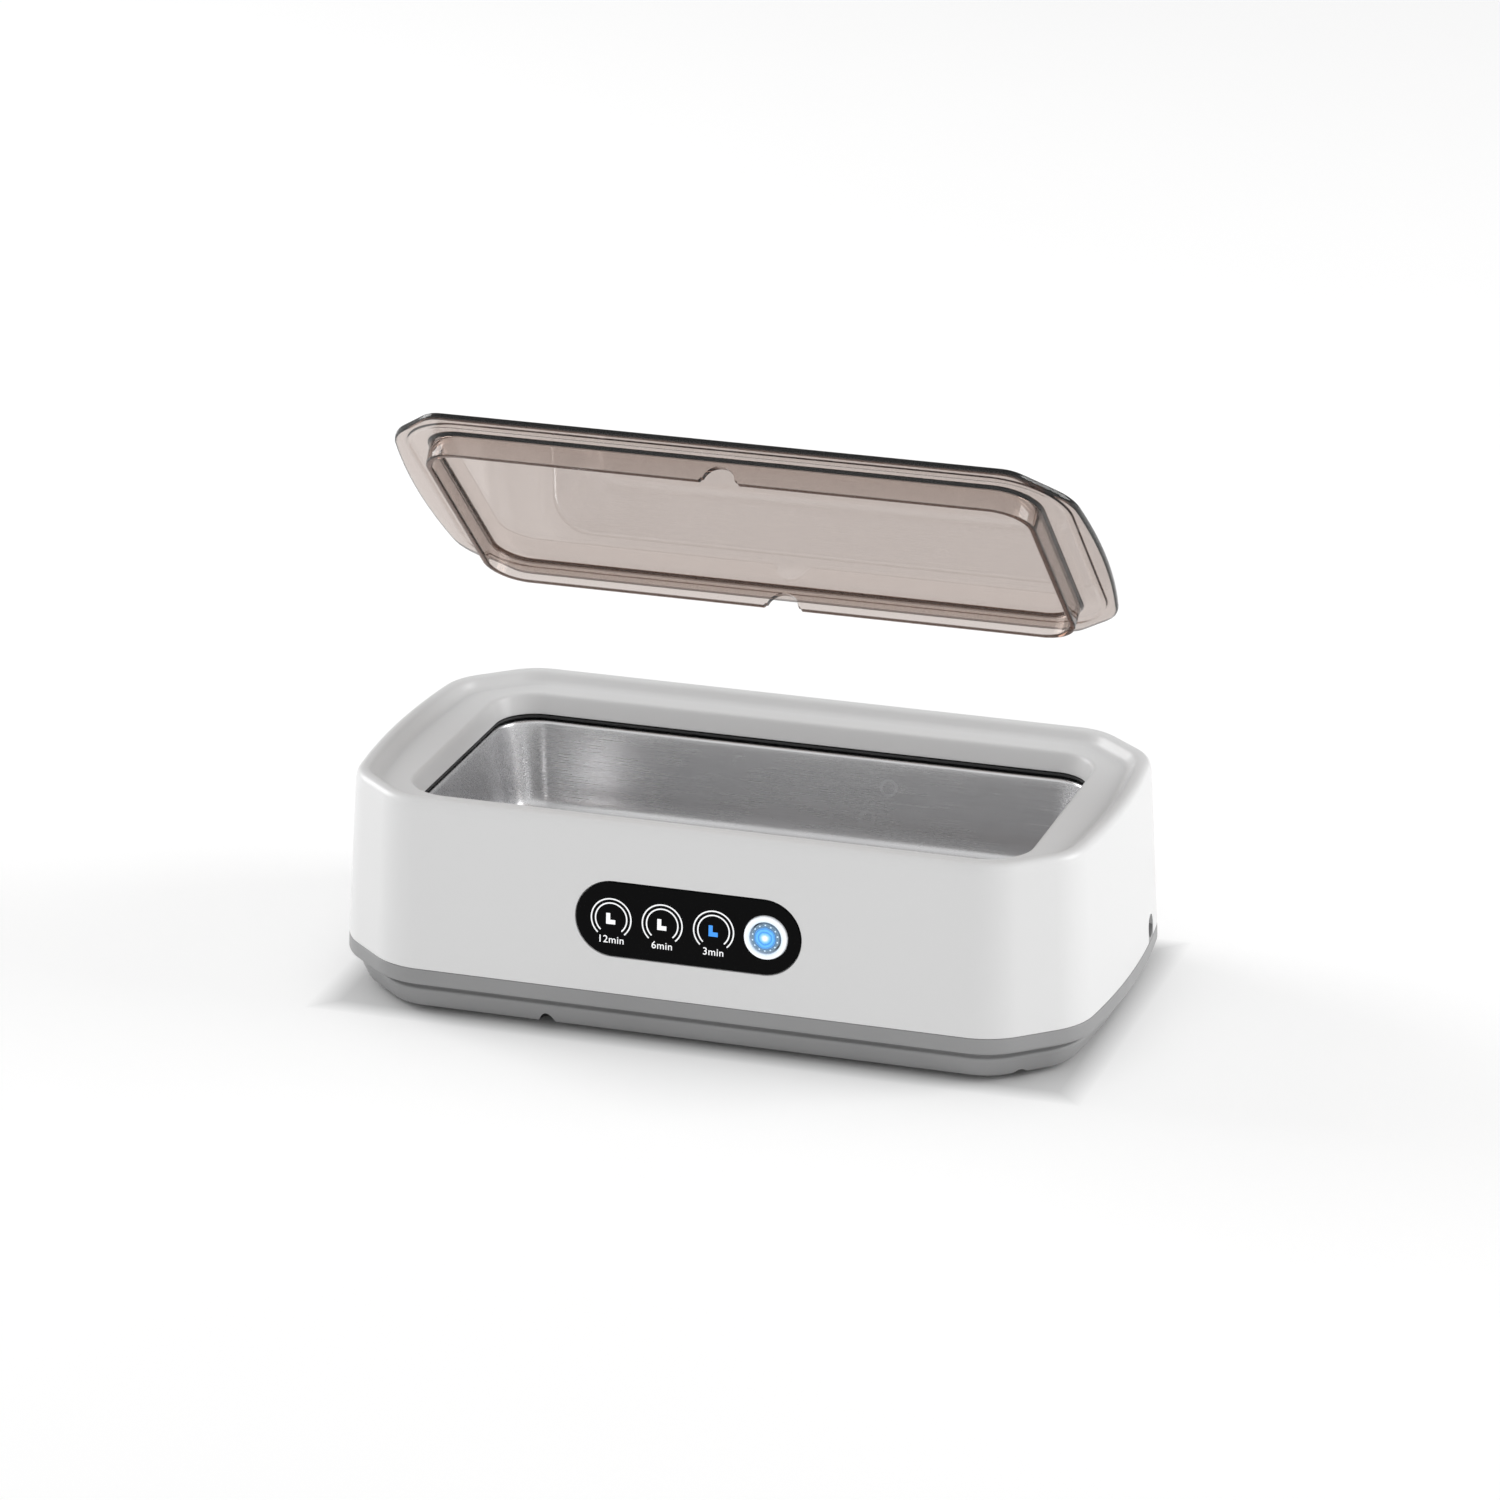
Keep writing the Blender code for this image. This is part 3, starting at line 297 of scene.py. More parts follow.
def noise(nt, vec, scale, detail=4.0, rough=0.55):
    n = nt.nodes.new("ShaderNodeTexNoise")
    n.inputs["Scale"].default_value = scale
    n.inputs["Detail"].default_value = detail
    n.inputs["Roughness"].default_value = rough
    nt.links.new(vec, n.inputs["Vector"])
    return n.outputs["Fac"]


def remap(nt, val, a, b, lo, hi):
    n = nt.nodes.new("ShaderNodeMapRange")
    for k, v in zip(("From Min", "From Max", "To Min", "To Max"), (a, b, lo, hi)):
        n.inputs[k].default_value = v
    nt.links.new(val, n.inputs["Value"])
    return n.outputs["Result"]


def math_node(nt, op, a, b=None):
    n = nt.nodes.new("ShaderNodeMath")
    n.operation = op
    for i, v in enumerate((a, b)):
        if v is None:
            continue
        if isinstance(v, (int, float)):
            n.inputs[i].default_value = v
        else:
            nt.links.new(v, n.inputs[i])
    return n.outputs[0]


def mix_rgb(nt, fac, a, b):
    n = nt.nodes.new("ShaderNodeMix")
    n.data_type = "RGBA"
    n.blend_type = "MIX"
    for s, v in ((n.inputs[0], fac), (n.inputs[6], a), (n.inputs[7], b)):
        if isinstance(v, (int, float)):
            s.default_value = v
        elif isinstance(v, (tuple, list)):
            s.default_value = (*v[:3], 1.0)
        else:
            nt.links.new(v, s)
    return n.outputs[2]


def ramp(nt, fac, stops):
    n = nt.nodes.new("ShaderNodeValToRGB")
    n.color_ramp.interpolation = "LINEAR"
    e = n.color_ramp.elements
    while len(e) < len(stops):
        e.new(0.5)
    for el, (p, c) in zip(e, stops):
        el.position = p
        el.color = (*c[:3], 1.0)
    nt.links.new(fac, n.inputs["Fac"])
    return n.outputs["Color"]


def bump(nt, b, height, strength, distance):
    n = nt.nodes.new("ShaderNodeBump")
    n.inputs["Strength"].default_value = strength
    n.inputs["Distance"].default_value = distance
    nt.links.new(height, n.inputs["Height"])
    nt.links.new(n.outputs["Normal"], b.inputs["Normal"])
    return n


def lin(r, g, b):
    """0-255 display colour to linear."""
    return tuple(((c / 255 + 0.055) / 1.055) ** 2.4 if c > 10 else c / 255 / 12.92 for c in (r, g, b))


def radial(nt, v, radius):
    """Distance from the local Z axis, 1 at a radius in millimetres."""
    flat = nt.nodes.new("ShaderNodeVectorMath")
    flat.operation = "MULTIPLY"
    flat.inputs[1].default_value = (1, 1, 0)
    nt.links.new(v, flat.inputs[0])
    length = nt.nodes.new("ShaderNodeVectorMath")
    length.operation = "LENGTH"
    nt.links.new(flat.outputs[0], length.inputs[0])
    return math_node(nt, "MULTIPLY", length.outputs["Value"], 1000 / radius)


def moulded(name, rgb, rough, vary=0.03, rv=0.05, grain=1400, height=3e-6, big=14, coat=0.0, speck=0.0):
    """Moulded or coated surface: slow colour drift, patchy gloss, fine skin, optional specks of dust."""
    m, nt, b = new_mat(name)
    v = coords(nt)
    drift = noise(nt, v, big, 3)
    dark = tuple(c * (1 - vary) for c in rgb)
    light = tuple(min(c * (1 + vary), 1) for c in rgb)
    col = mix_rgb(nt, remap(nt, drift, 0.3, 0.7, 0, 1), dark, light)
    if speck:
        dots = noise(nt, v, 2600, 2, 0.7)
        col = mix_rgb(nt, remap(nt, dots, 0.66, 0.74, 0, speck), col, tuple(c * 0.55 for c in rgb))
    nt.links.new(col, b.inputs["Base Color"])
    patch = noise(nt, v, big * 5, 5, 0.6)
    nt.links.new(remap(nt, patch, 0.3, 0.7, rough - rv, rough + rv), b.inputs["Roughness"])
    b.inputs["Metallic"].default_value = 0.0
    b.inputs["IOR"].default_value = 1.5
    b.inputs["Coat Weight"].default_value = coat
    if height:
        bump(nt, b, noise(nt, v, grain, 3), 0.6, height)
    return m


def brushed(name, rgb, rough, stretch, rv=0.08, height=4e-6, spots=0.0):
    """Metal with fine parallel scratches, a few deeper ones and dried water marks."""
    m, nt, b = new_mat(name)
    b.inputs["Metallic"].default_value = 1.0
    v = coords(nt, stretch)
    w = coords(nt)
    fine = noise(nt, v, 2600, 6, 0.7)
    broad = noise(nt, w, 22, 4)
    col = mix_rgb(nt, remap(nt, fine, 0.3, 0.7, 0, 1), tuple(c * 0.9 for c in rgb), rgb)
    col = mix_rgb(nt, remap(nt, broad, 0.35, 0.75, 0, 0.25), col, tuple(c * 0.72 for c in rgb))
    r = math_node(nt, "ADD", remap(nt, fine, 0.25, 0.75, rough - rv, rough + rv),
                  remap(nt, broad, 0.3, 0.7, -0.03, 0.05))
    if spots:
        vo = nt.nodes.new("ShaderNodeTexVoronoi")
        vo.feature = "F1"
        vo.inputs["Scale"].default_value = 85
        vo.inputs["Randomness"].default_value = 1.0
        nt.links.new(w, vo.inputs["Vector"])
        ring = math_node(nt, "MULTIPLY", remap(nt, vo.outputs["Distance"], 0.16, 0.2, 0, 1),
                         remap(nt, vo.outputs["Distance"], 0.2, 0.24, 1, 0))
        some = remap(nt, noise(nt, w, 30, 2), 0.52, 0.6, 0, spots)
        mark = math_node(nt, "MULTIPLY", ring, some)
        col = mix_rgb(nt, mark, col, (0.85, 0.86, 0.88))
        r = math_node(nt, "ADD", r, math_node(nt, "MULTIPLY", mark, 0.25))
    nt.links.new(col, b.inputs["Base Color"])
    nt.links.new(r, b.inputs["Roughness"])
    bump(nt, b, fine, 0.5, height)
    return m


def glow(name, rgb, strength):
    """Printed mark lit from behind: slight unevenness in the ink."""
    m, nt, b = new_mat(name)
    v = coords(nt)
    f = remap(nt, noise(nt, v, 700, 3), 0.3, 0.7, 0, 1)
    col = mix_rgb(nt, f, rgb, tuple(c * 0.9 for c in rgb))
    nt.links.new(col, b.inputs["Base Color"])
    nt.links.new(col, b.inputs["Emission Color"])
    b.inputs["Emission Strength"].default_value = strength
    nt.links.new(remap(nt, f, 0, 1, 0.3, 0.4), b.inputs["Roughness"])
    return m


# ---- materials ----------------------------------------------------------------------------------------
SHELL = moulded("white_abs_skin", (0.68, 0.68, 0.68), 0.32, vary=0.008, rv=0.02, grain=1500, height=2.0e-6,
                big=7)
BASE = moulded("grey_abs_skin", (0.262, 0.262, 0.264), 0.42, vary=0.05, rv=0.06, grain=2200, height=6e-6,
               big=18, speck=0.25)
# Near-black material for the walls of the screw wells: painted shade, not the colour of the grey base
PAINTED_WELL_SHADE = moulded("well_painted_shade", (0.02, 0.02, 0.021), 0.7, vary=0.15, rv=0.06, grain=2200, height=8e-6, big=18)
STEEL = brushed("drawn_stainless", (0.70, 0.70, 0.71), 0.26, (0.03, 1, 1), rv=0.05, height=1.2e-6,
                spots=0.25)
RUBBER = moulded("foot_rubber", (0.022, 0.022, 0.022), 0.72, vary=0.2, rv=0.08, grain=1800, height=1.5e-5,
                 speck=0.5)
GASKET = moulded("gasket_silicone_skin", (0.028, 0.029, 0.03), 0.55, vary=0.15, rv=0.08, grain=2400,
                 height=6e-6)
PANEL = moulded("gloss_black_lens", (0.0012, 0.0012, 0.0014), 0.08, vary=0.2, rv=0.02, grain=500,
                height=6e-7)
PANEL.node_tree.nodes["Principled BSDF"].inputs["Specular IOR Level"].default_value = 0.06
ZINC = brushed("zinc_plate", (0.60, 0.60, 0.58), 0.3, (1, 1, 0.15), height=6e-6)
JACKM = moulded("inlet_resin", (0.025, 0.025, 0.027), 0.38, vary=0.15, rv=0.06, grain=2600, height=4e-6)
NICKEL = brushed("nickel_plate", (0.70, 0.68, 0.63), 0.18, (0.2, 1, 1), height=2e-6)

# ---- white upper shell --------------------------------------------------------------------------------
z0 = PART - 0.08
keys = [body(0.16, z0), body(0.03, z0 + 0.12), body(lean(z0 + 0.9), z0 + 0.9),
        body(lean(TOP - 12), TOP - 12), body(lean(TOP - 3.2), TOP - 3.2),
        body(2.72, TOP - 2.2), body(2.88, TOP - 1.3), body(3.45, TOP - 0.45), body(4.3, TOP - 0.02),
        body(5.4, TOP),
        body(6.3, TOP - 0.2), body(6.95, TOP - 0.75), body(7.5, TOP - 1.6), body(8.1, LEDGE + 0.7),
        body(8.9, LEDGE + 0.2), body(9.7, LEDGE), body(10.6, LEDGE),
        rr(WX + 3.4, WY + 3.65, 14.0, LEDGE), rr(WX + 2.1, WY + 2.3, 13.2, LEDGE),
        rr(WX + 1.35, WY + 1.55, 12.2, LEDGE - 0.55),
        rr(WX + 0.9, WY + 1.05, 11.7, LEDGE - 1.8), rr(WX, WY, 11.0, WELL_FOOT + 0.5),
        rr(WX, WY, 11.0, WELL_FOOT), rr(WX + 0.4, WY + 0.4, 11.2, WELL_FOOT),
        rr(WX + 4.4, WY + 4.4, 14.4, WELL_FOOT), rr(WX + 4.4, WY + 4.4, 14.4, WELL_FOOT + 2.0),
        rr(WX + 3.2, WY + 3.3, 13.6, WELL_FOOT + 2.2), rr(WX + 3.6, WY + 3.7, 14.0, LEDGE - 2.4),
        body(11.3, LEDGE - 2.4), body(8.9, LEDGE - 1.4), body(7.4, TOP - 2.7), body(6.2, TOP - 2.2),
        body(5.3, TOP - 2.5), body(lean(TOP - 4.4) + 2.4, TOP - 4.4), body(2.6, PART + 3.2), body(2.6, z0)]
shell = loft("shell_upper", soften(keys, 2), SHELL, closed=True)


def stadium(hw, hh, y, n=40):
    p = [(hw - hh + hh * math.sin(math.pi * k / n), y, hh * math.cos(math.pi * k / n)) for k in range(n + 1)]
    return p + [(-(hw - hh) - hh * math.sin(math.pi * k / n), y, -hh * math.cos(math.pi * k / n))
                for k in range(n + 1)]


TILT = Matrix.Rotation(-math.atan2(-PRESS.z, PRESS.y), 4, "X")
PANEL_AT = Matrix.Translation(PANEL_C * MM) @ TILT

hw, hh = PANEL_HW + 0.16, PANEL_HH + 0.16
combine(shell, loft("cut_recess", [stadium(hw + 0.9, hh + 0.9, -2.0), stadium(hw + 0.42, hh + 0.42, -0.3),
                                   stadium(hw + 0.1, hh + 0.1, 0.12), stadium(hw, hh, 0.4),
                                   stadium(hw, hh, 1.35)], at=PANEL_AT))
combine(shell, loft("cut_window", [stadium(PANEL_HW - 2.2, PANEL_HH - 2.4, 0.6),
                                   stadium(PANEL_HW - 2.2, PANEL_HH - 2.4, 6.0)], at=PANEL_AT))


def slot_ring(r, x, drop):
    """Half round on top of straight sides, open downward."""
    p = [(x, r * math.cos(math.pi * k / 32), r * math.sin(math.pi * k / 32)) for k in range(33)]
    return p + [(x, -r, -drop), (x, r, -drop)]


sr = 3.3                                               # radius of the inlet's slot
x1 = HALF_L - JACK.x
combine(shell, loft("cut_inlet", [slot_ring(sr, -6.0, 6.0), slot_ring(sr, x1 - 1.25, 6.0),
                                  slot_ring(sr + 0.12, x1 - 0.95, 6.0), slot_ring(sr + 0.5, x1 - 0.55, 6.0),
                                  slot_ring(sr + 1.2, x1 + 2.5, 6.0)], at=Matrix.Translation(JACK * MM)))
bake(shell, 30)
place(shell, "housing", "white_shell", "upper_shell")

# ---- grey base ----------------------------------------------------------------------------------------
FLOOR = FOOT_H + BASE_T
keys = [body(8.2, FOOT_H), body(6.4, FOOT_H), body(5.5, FOOT_H + 0.1), body(5.1, FOOT_H + 0.6),
        body(4.5, FOOT_H + 1.7), body(3.9, BAND - 5.4), body(3.3, BAND - 4.0), body(3.05, BAND - 3.2),
        body(3.2, BAND - 2.65), body(3.9, BAND - 2.3), body(4.25, BAND - 1.9), body(4.25, BAND - 0.9),
        body(3.7, BAND - 0.45), body(0.9, BAND - 0.35), body(0.35, BAND - 0.3),
        body(0.02, BAND - 0.1), body(-0.2, BAND + 0.5), body(-0.14, BAND + 1.6), body(-0.05, PART - 0.5),
        body(0.0, PART - 0.22), body(0.2, PART - 0.12), body(0.7, PART - 0.1),
        body(2.8, PART - 0.15), body(2.92, PART), body(2.94, PART + 2.4), body(3.2, PART + 2.75),
        body(4.0, PART + 2.75), body(4.2, PART + 2.4), body(5.0, BAND - 0.4), body(5.2, BAND - 2.4),
        body(6.3, BAND - 4.8), body(7.4, FLOOR), body(9.0, FLOOR)]
base = loft("base_housing", soften(keys, 2, closed=False), BASE)
CORNER_WELL, SIDE_WELL = 3.5, 2.66                     # radii of the screw wells
screws, feet = [], []
for i in range(1, 7):
    a, b = span("housing_screw_%d" % i)
    r = CORNER_WELL if i < 5 else SIDE_WELL
    screws.append(((a[0] + b[0]) / 2, (a[1] + b[1]) / 2, r))
for i in range(1, 5):
    a, b = span("foot_%d" % i)
    feet.append(((a[0] + b[0]) / 2, (a[1] + b[1]) / 2))
bosses = rods("bosses", [(x, y, r + 1.5, 3.0, 9.5) for x, y, r in screws])
limit = loft("limit", [body(6.0, FOOT_H), body(5.4, FOOT_H + 0.2), body(5.1, FOOT_H + 0.7),
                       body(4.0, BAND - 5.4), body(3.3, BAND - 3.4), body(4.3, BAND - 2.1), body(4.3, BAND)])
combine(bosses, limit, "INTERSECT")
tab = boxes("tab", [(JACK.x + 1.0, JACK.x + 6.4, JACK.y - sr + 0.3, JACK.y + sr - 0.3, 12.5, JACK.z - 0.4)])
limit2 = loft("limit2", [body(0.1, BAND), body(0.1, PART), body(lean(PART + 7.8) + 0.05, PART + 7.8)])
combine(tab, limit2, "INTERSECT")
combine(base, bosses, "UNION")
combine(base, tab, "UNION")
combine(base, rods("cut_wells", [(x, y, r, -1.0, 7.5) for x, y, r in screws]
                   + [(x, y, 6.0, -1.0, FOOT_H + 0.9) for x, y in feet]))
combine(base, rods("cut_posts", [(x, y, 3.55, 9.5, 20.0) for x, y, r in screws]))
combine(base, rods("cut_holes", [(x, y, 1.7, 6.0, 12.0) for x, y, r in screws]))
combine(base, boxes("cut_room", [(JACK.x - 14.5, JACK.x + 1.15, JACK.y - 5.4, JACK.y + 5.4, 12.2, 25.0)]))
combine(base, lathe("cut_jack", [(3.0, -4.0), (3.0, 1.9), (3.35, 8.0)], seg=48,
                    at=Matrix.Translation(JACK * MM) @ Matrix.Rotation(math.pi / 2, 4, "Y")))
bake(base, 30)
base.data.materials.append(PAINTED_WELL_SHADE)
WELL_TOP = 7.6
for f in base.data.polygons:                           # the walls of the screw wells get a near-black material: painted shade, the grey moulding itself is not this dark
    c = f.center * 1000
    if c.z < WELL_TOP and any(math.hypot(c.x - x, c.y - y) < r + 0.05 for x, y, r in screws):
        f.material_index = 1
place(base, "housing", "grey_base", "lower_housing")

# ---- feet, screws -------------------------------------------------------------------------------------
for i, (x, y) in enumerate(feet, 1):
    f = lathe("foot_pad_%d" % i, [(0.0, 0.35), (1.6, 0.35), (1.9, 0.05), (2.6, 0.0), (3.0, 0.0), (3.2, 0.3),
                                  (3.5, 0.3), (3.7, 0.0), (4.6, 0.0), (5.2, 0.08), (5.55, 0.35), (5.68, 0.8),
                                  (5.7, FOOT_H + 0.6), (0.0, FOOT_H + 0.6)], RUBBER, 48,
              Matrix.Translation(Vector((x, y, 0)) * MM))
    bake(f, 40)
    place(f, "housing", "black_rubber", "foot_%d" % i)
for i, (x, y, r) in enumerate(screws, 1):
    s = lathe("case_screw_%d" % i, [(0.0, 5.5), (1.2, 5.5), (1.75, 5.62), (2.1, 5.95), (2.2, 6.3), (2.2, 7.1),
                                    (2.1, 7.2), (1.2, 7.2), (1.2, 18.4), (0.3, 19.0)], ZINC, 32,
              Matrix.Translation(Vector((x, y, 0)) * MM))
    combine(s, boxes("cross_a", [(x - 1.25, x + 1.25, y - 0.28, y + 0.28, 5.0, 6.3)]))
    combine(s, boxes("cross_b", [(x - 0.28, x + 0.28, y - 1.25, y + 1.25, 5.0, 6.3)]))
    bake(s, 35)
    place(s, "housing", "zinc_steel", "housing_screw_%d" % i)

# ---- steel tank and its gasket ------------------------------------------------------------------------
T, F = TANK_T, TANK_FLOOR
keys = [rr(TX - 12.0, TY - 12.0, 3.6, F), rr(TX - 9.6, TY - 9.6, 5.0, F),
        rr(TX - 7.6, TY - 7.6, 6.0, F + 0.05), rr(TX - 5.6, TY - 5.6, 7.2, F + 0.8),
        rr(TX - 4.0, TY - 4.0, 8.5, F + 2.5), rr(TX - 3.2, TY - 3.2, 9.0, F + 5.2),
        rr(TX - 2.6, TY - 2.6, 9.2, F + 9.5),
        rr(TX, TY, 10.6, TANK_TOP - 1.4), rr(TX + 0.35, TY + 0.35, 10.9, TANK_TOP - 0.3),
        rr(TX + 1.2, TY + 1.2, 11.7, TANK_TOP), rr(TX + 3.4, TY + 3.4, 13.6, TANK_TOP),
        rr(TX + 3.8, TY + 3.8, 14.0, TANK_TOP), rr(TX + 3.8, TY + 3.8, 14.0, TANK_TOP - T),
        rr(TX + 1.5, TY + 1.5, 12.0, TANK_TOP - T), rr(TX + T, TY + T, 11.3, TANK_TOP - 1.6),
        rr(TX - 1.8, TY - 1.8, 10.0, F + 9.5), rr(TX - 2.4, TY - 2.4, 9.8, F + 4.9),
        rr(TX - 3.1, TY - 3.1, 9.3, F + 2.3), rr(TX - 4.6, TY - 4.6, 8.0, F + 0.2),
        rr(TX - 6.9, TY - 6.9, 6.4, F - T + 0.05), rr(TX - 9.4, TY - 9.4, 5.0, F - T),
        rr(TX - 12.0, TY - 12.0, 3.6, F - T)]
tank = loft("tank_pressed", soften(keys, 2, closed=False), STEEL)
bake(tank, 50)
place(tank, "housing", "stainless", "tank")
g0, g1 = TANK_TOP + 0.3, WELL_FOOT - 0.3
keys = [rr(WX + 0.5, WY + 0.5, 11.4, g0), rr(WX + 0.2, WY + 0.2, 11.2, (g0 + g1) / 2),
        rr(WX + 0.5, WY + 0.5, 11.4, g1), rr(WX + 3.6, WY + 3.6, 14.0, g1), rr(WX + 3.6, WY + 3.6, 14.0, g0)]
gasket = loft("gasket_ring", soften(keys, 2), GASKET, closed=True)
bake(gasket, 40)
place(gasket, "housing", "black_rubber", "tank_gasket")

# ---- control panel ------------------------------------------------------------------------------------
lens_rings = [(0.5, -0.25), (0.28, -0.24), (0.12, -0.17), (0.02, -0.03), (0.0, 0.15), (0.0, 0.95)]
lens = loft("panel_cover", [stadium(PANEL_HW - d, PANEL_HH - d, y) for d, y in lens_rings], PANEL,
            at=PANEL_AT)
FACING = Matrix.Rotation(math.pi / 2, 4, "X")           # local Z turned to face out of the panel
BTN_AT = PANEL_AT @ Matrix.Translation((BUTTON_X * MM, 0, 0.1 * MM)) @ FACING
BUTTON_HOLE = 6.0
combine(lens, lathe("cut_button", [(BUTTON_HOLE, -6.0), (BUTTON_HOLE, 0.05), (BUTTON_HOLE + 0.12, 0.22),
                                   (BUTTON_HOLE + 0.7, 1.2)], seg=72, at=BTN_AT))
bake(lens, 30)
place(lens, "housing", "gloss_black", "panel_lens")

INK = glow("lit_white_ink", (0.80, 0.81, 0.82), 0.45)
INK_B = glow("lit_blue_ink", (0.035, 0.27, 0.80), 0.45)
FACE = 0.25 + 0.03                                     # height of the print over the panel frame
DIALS, DIAL_Z, WORD_Z = (-20.93, -6.9, 7.15), 0.15, -6.5
DIAL_RINGS, DIAL_LINE = (5.44, 4.3), 0.18              # two arcs, half the width of their line
DIAL_FROM, DIAL_TO = math.radians(-48), math.radians(228)
WORD_SIZE = 2.82


def flat_mesh(name, polys, mat, thick=0.03):
    """Flat print on the panel: polygons in panel x and z, given a little thickness."""
    bm = bmesh.new()
    for quad in polys:
        vs = [bm.verts.new((x * MM, z * MM, FACE * MM)) for x, z in quad]
        bm.faces.new(vs)
    bmesh.ops.remove_doubles(bm, verts=bm.verts, dist=1e-7)
    bmesh.ops.recalc_face_normals(bm, faces=bm.faces)
    for f in bm.faces:
        if f.normal.z < 0:
            f.normal_flip()
    ext = bmesh.ops.extrude_face_region(bm, geom=bm.faces[:])["geom"]
    moved = [e for e in ext if isinstance(e, bmesh.types.BMVert)]
    bmesh.ops.translate(bm, vec=(0, 0, -thick * MM), verts=moved)
    ob = from_bm(name, bm, mat, PANEL_AT @ FACING)
    return place(ob, "housing", "button_white" if mat is INK else "button_blue")


def ring_quads(cx, cz, r0, r1, a0, a1, n=72):
    p = [(math.cos(a0 + (a1 - a0) * k / n), math.sin(a0 + (a1 - a0) * k / n)) for k in range(n + 1)]
    return [[(cx + r0 * c, cz + r0 * s), (cx + r0 * c2, cz + r0 * s2), (cx + r1 * c2, cz + r1 * s2),
             (cx + r1 * c, cz + r1 * s)] for (c, s), (c2, s2) in zip(p[:-1], p[1:])]


def hand(cx, cz):
    """Clock hands at three o'clock."""
    w, h, up, right = 1.1, 1.2, 1.5, 1.15
    x0, zb = cx - 1.36, cz - 1.5
    return [[(x0, zb + h), (x0 + w, zb + h), (x0 + w, cz + up), (x0, cz + up)],
            [(x0, zb), (x0 + w, zb), (x0 + w, zb + h), (x0, zb + h)],
            [(x0 + w, zb), (cx + right, zb), (cx + right, zb + h), (x0 + w, zb + h)]]


quads = []
for cx in DIALS:
    for r in DIAL_RINGS:
        quads += ring_quads(cx, DIAL_Z, r - DIAL_LINE, r + DIAL_LINE, DIAL_FROM, DIAL_TO)
for cx in DIALS[:2]:
    quads += hand(cx, DIAL_Z)
flat_mesh("dial_marks", quads, INK)
flat_mesh("dial_hand_lit", hand(DIALS[2], DIAL_Z), INK_B)
for cx, word in zip(DIALS, ("12min", "6min", "3min")):
    cu = bpy.data.curves.new("word", "FONT")
    cu.body = word
    cu.size = WORD_SIZE * MM
    cu.align_x = "CENTER"
    cu.extrude = 0.015 * MM
    cu.offset = 0.015 * MM
    cu.space_character = 1.06
    cu.resolution_u = 6
    tmp = bpy.data.objects.new("tmp", cu)
    SCENE.collection.objects.link(tmp)
    me = bpy.data.meshes.new_from_object(tmp.evaluated_get(bpy.context.evaluated_depsgraph_get()))
    bpy.data.objects.remove(tmp, do_unlink=True)
    ob = link("label_" + word, me, None)
    me.materials.clear()
    me.materials.append(INK)
    ob.matrix_world = PANEL_AT @ FACING @ Matrix.Translation(Vector((cx, WORD_Z, FACE - 0.01)) * MM)
    place(ob, "housing", "button_white")

# ---- lit push button ----------------------------------------------------------------------------------
BR, BL = 5.85, 3.88                                    # radii of the ring and of the lit middle
RING_HOLE, FLANGE_R, LENS_R = 4.3, 6.8, 4.0
DOTS, DOTS_AT = 14.0, 0.87                             # lit dots round the middle, as a share of its radius
m, nt, b = new_mat("button_ring_glow")
v = coords(nt)
rad = radial(nt, v, BUTTON_HOLE)
col = ramp(nt, rad, [(0.66, lin(170, 205, 240)), (0.74, lin(225, 238, 250)), (0.85, lin(245, 249, 254)),
                     (1.0, lin(252, 253, 255))])
col = mix_rgb(nt, remap(nt, noise(nt, v, 500, 3), 0.35, 0.7, 0, 0.25), col, lin(205, 225, 245))
nt.links.new(col, b.inputs["Base Color"])
nt.links.new(col, b.inputs["Emission Color"])
b.inputs["Emission Strength"].default_value = 0.22
nt.links.new(remap(nt, noise(nt, v, 900, 3), 0.3, 0.7, 0.2, 0.3), b.inputs["Roughness"])
bump(nt, b, noise(nt, v, 2600, 3), 0.5, 2e-6)
RING_GLOW = m

m, nt, b = new_mat("button_lens_glow")
v = coords(nt)
wob = remap(nt, noise(nt, v, 800, 3), 0.3, 0.7, -0.03, 0.03)
rad = math_node(nt, "ADD", radial(nt, v, LENS_R), wob)
blue = lin(88, 178, 255)
mid = lin(52, 128, 205)
col = ramp(nt, rad, [(0.0, (1, 1, 1)), (0.12, lin(236, 244, 255)), (0.26, lin(140, 200, 252)), (0.36, blue),
                     (0.44, lin(50, 128, 208)), (0.50, blue), (0.60, blue), (0.65, mid),
                     (0.70, lin(90, 160, 220)),
                     (0.75, lin(40, 92, 148)), (0.80, lin(104, 142, 172)), (0.86, lin(78, 110, 136)),
                     (0.93, lin(118, 142, 160)), (1.0, lin(66, 82, 96))])
gr = nt.nodes.new("ShaderNodeTexGradient")
gr.gradient_type = "RADIAL"
nt.links.new(v, gr.inputs["Vector"])
dots = math_node(nt, "ABSOLUTE", math_node(nt, "SUBTRACT", math_node(nt, "FRACT", math_node(
    nt, "MULTIPLY", gr.outputs["Fac"], DOTS)), 0.5))
band = math_node(nt, "ABSOLUTE", math_node(nt, "SUBTRACT", rad, DOTS_AT))
dot = math_node(nt, "MULTIPLY", remap(nt, dots, 0.10, 0.17, 1, 0), remap(nt, band, 0.03, 0.055, 1, 0))
col = mix_rgb(nt, dot, col, lin(205, 232, 255))
nt.links.new(col, b.inputs["Base Color"])
nt.links.new(col, b.inputs["Emission Color"])
b.inputs["Emission Strength"].default_value = 0.34
b.inputs["Coat Weight"].default_value = 0.5
nt.links.new(remap(nt, noise(nt, v, 600, 2), 0.3, 0.7, 0.08, 0.16), b.inputs["Roughness"])
LENS_GLOW = m

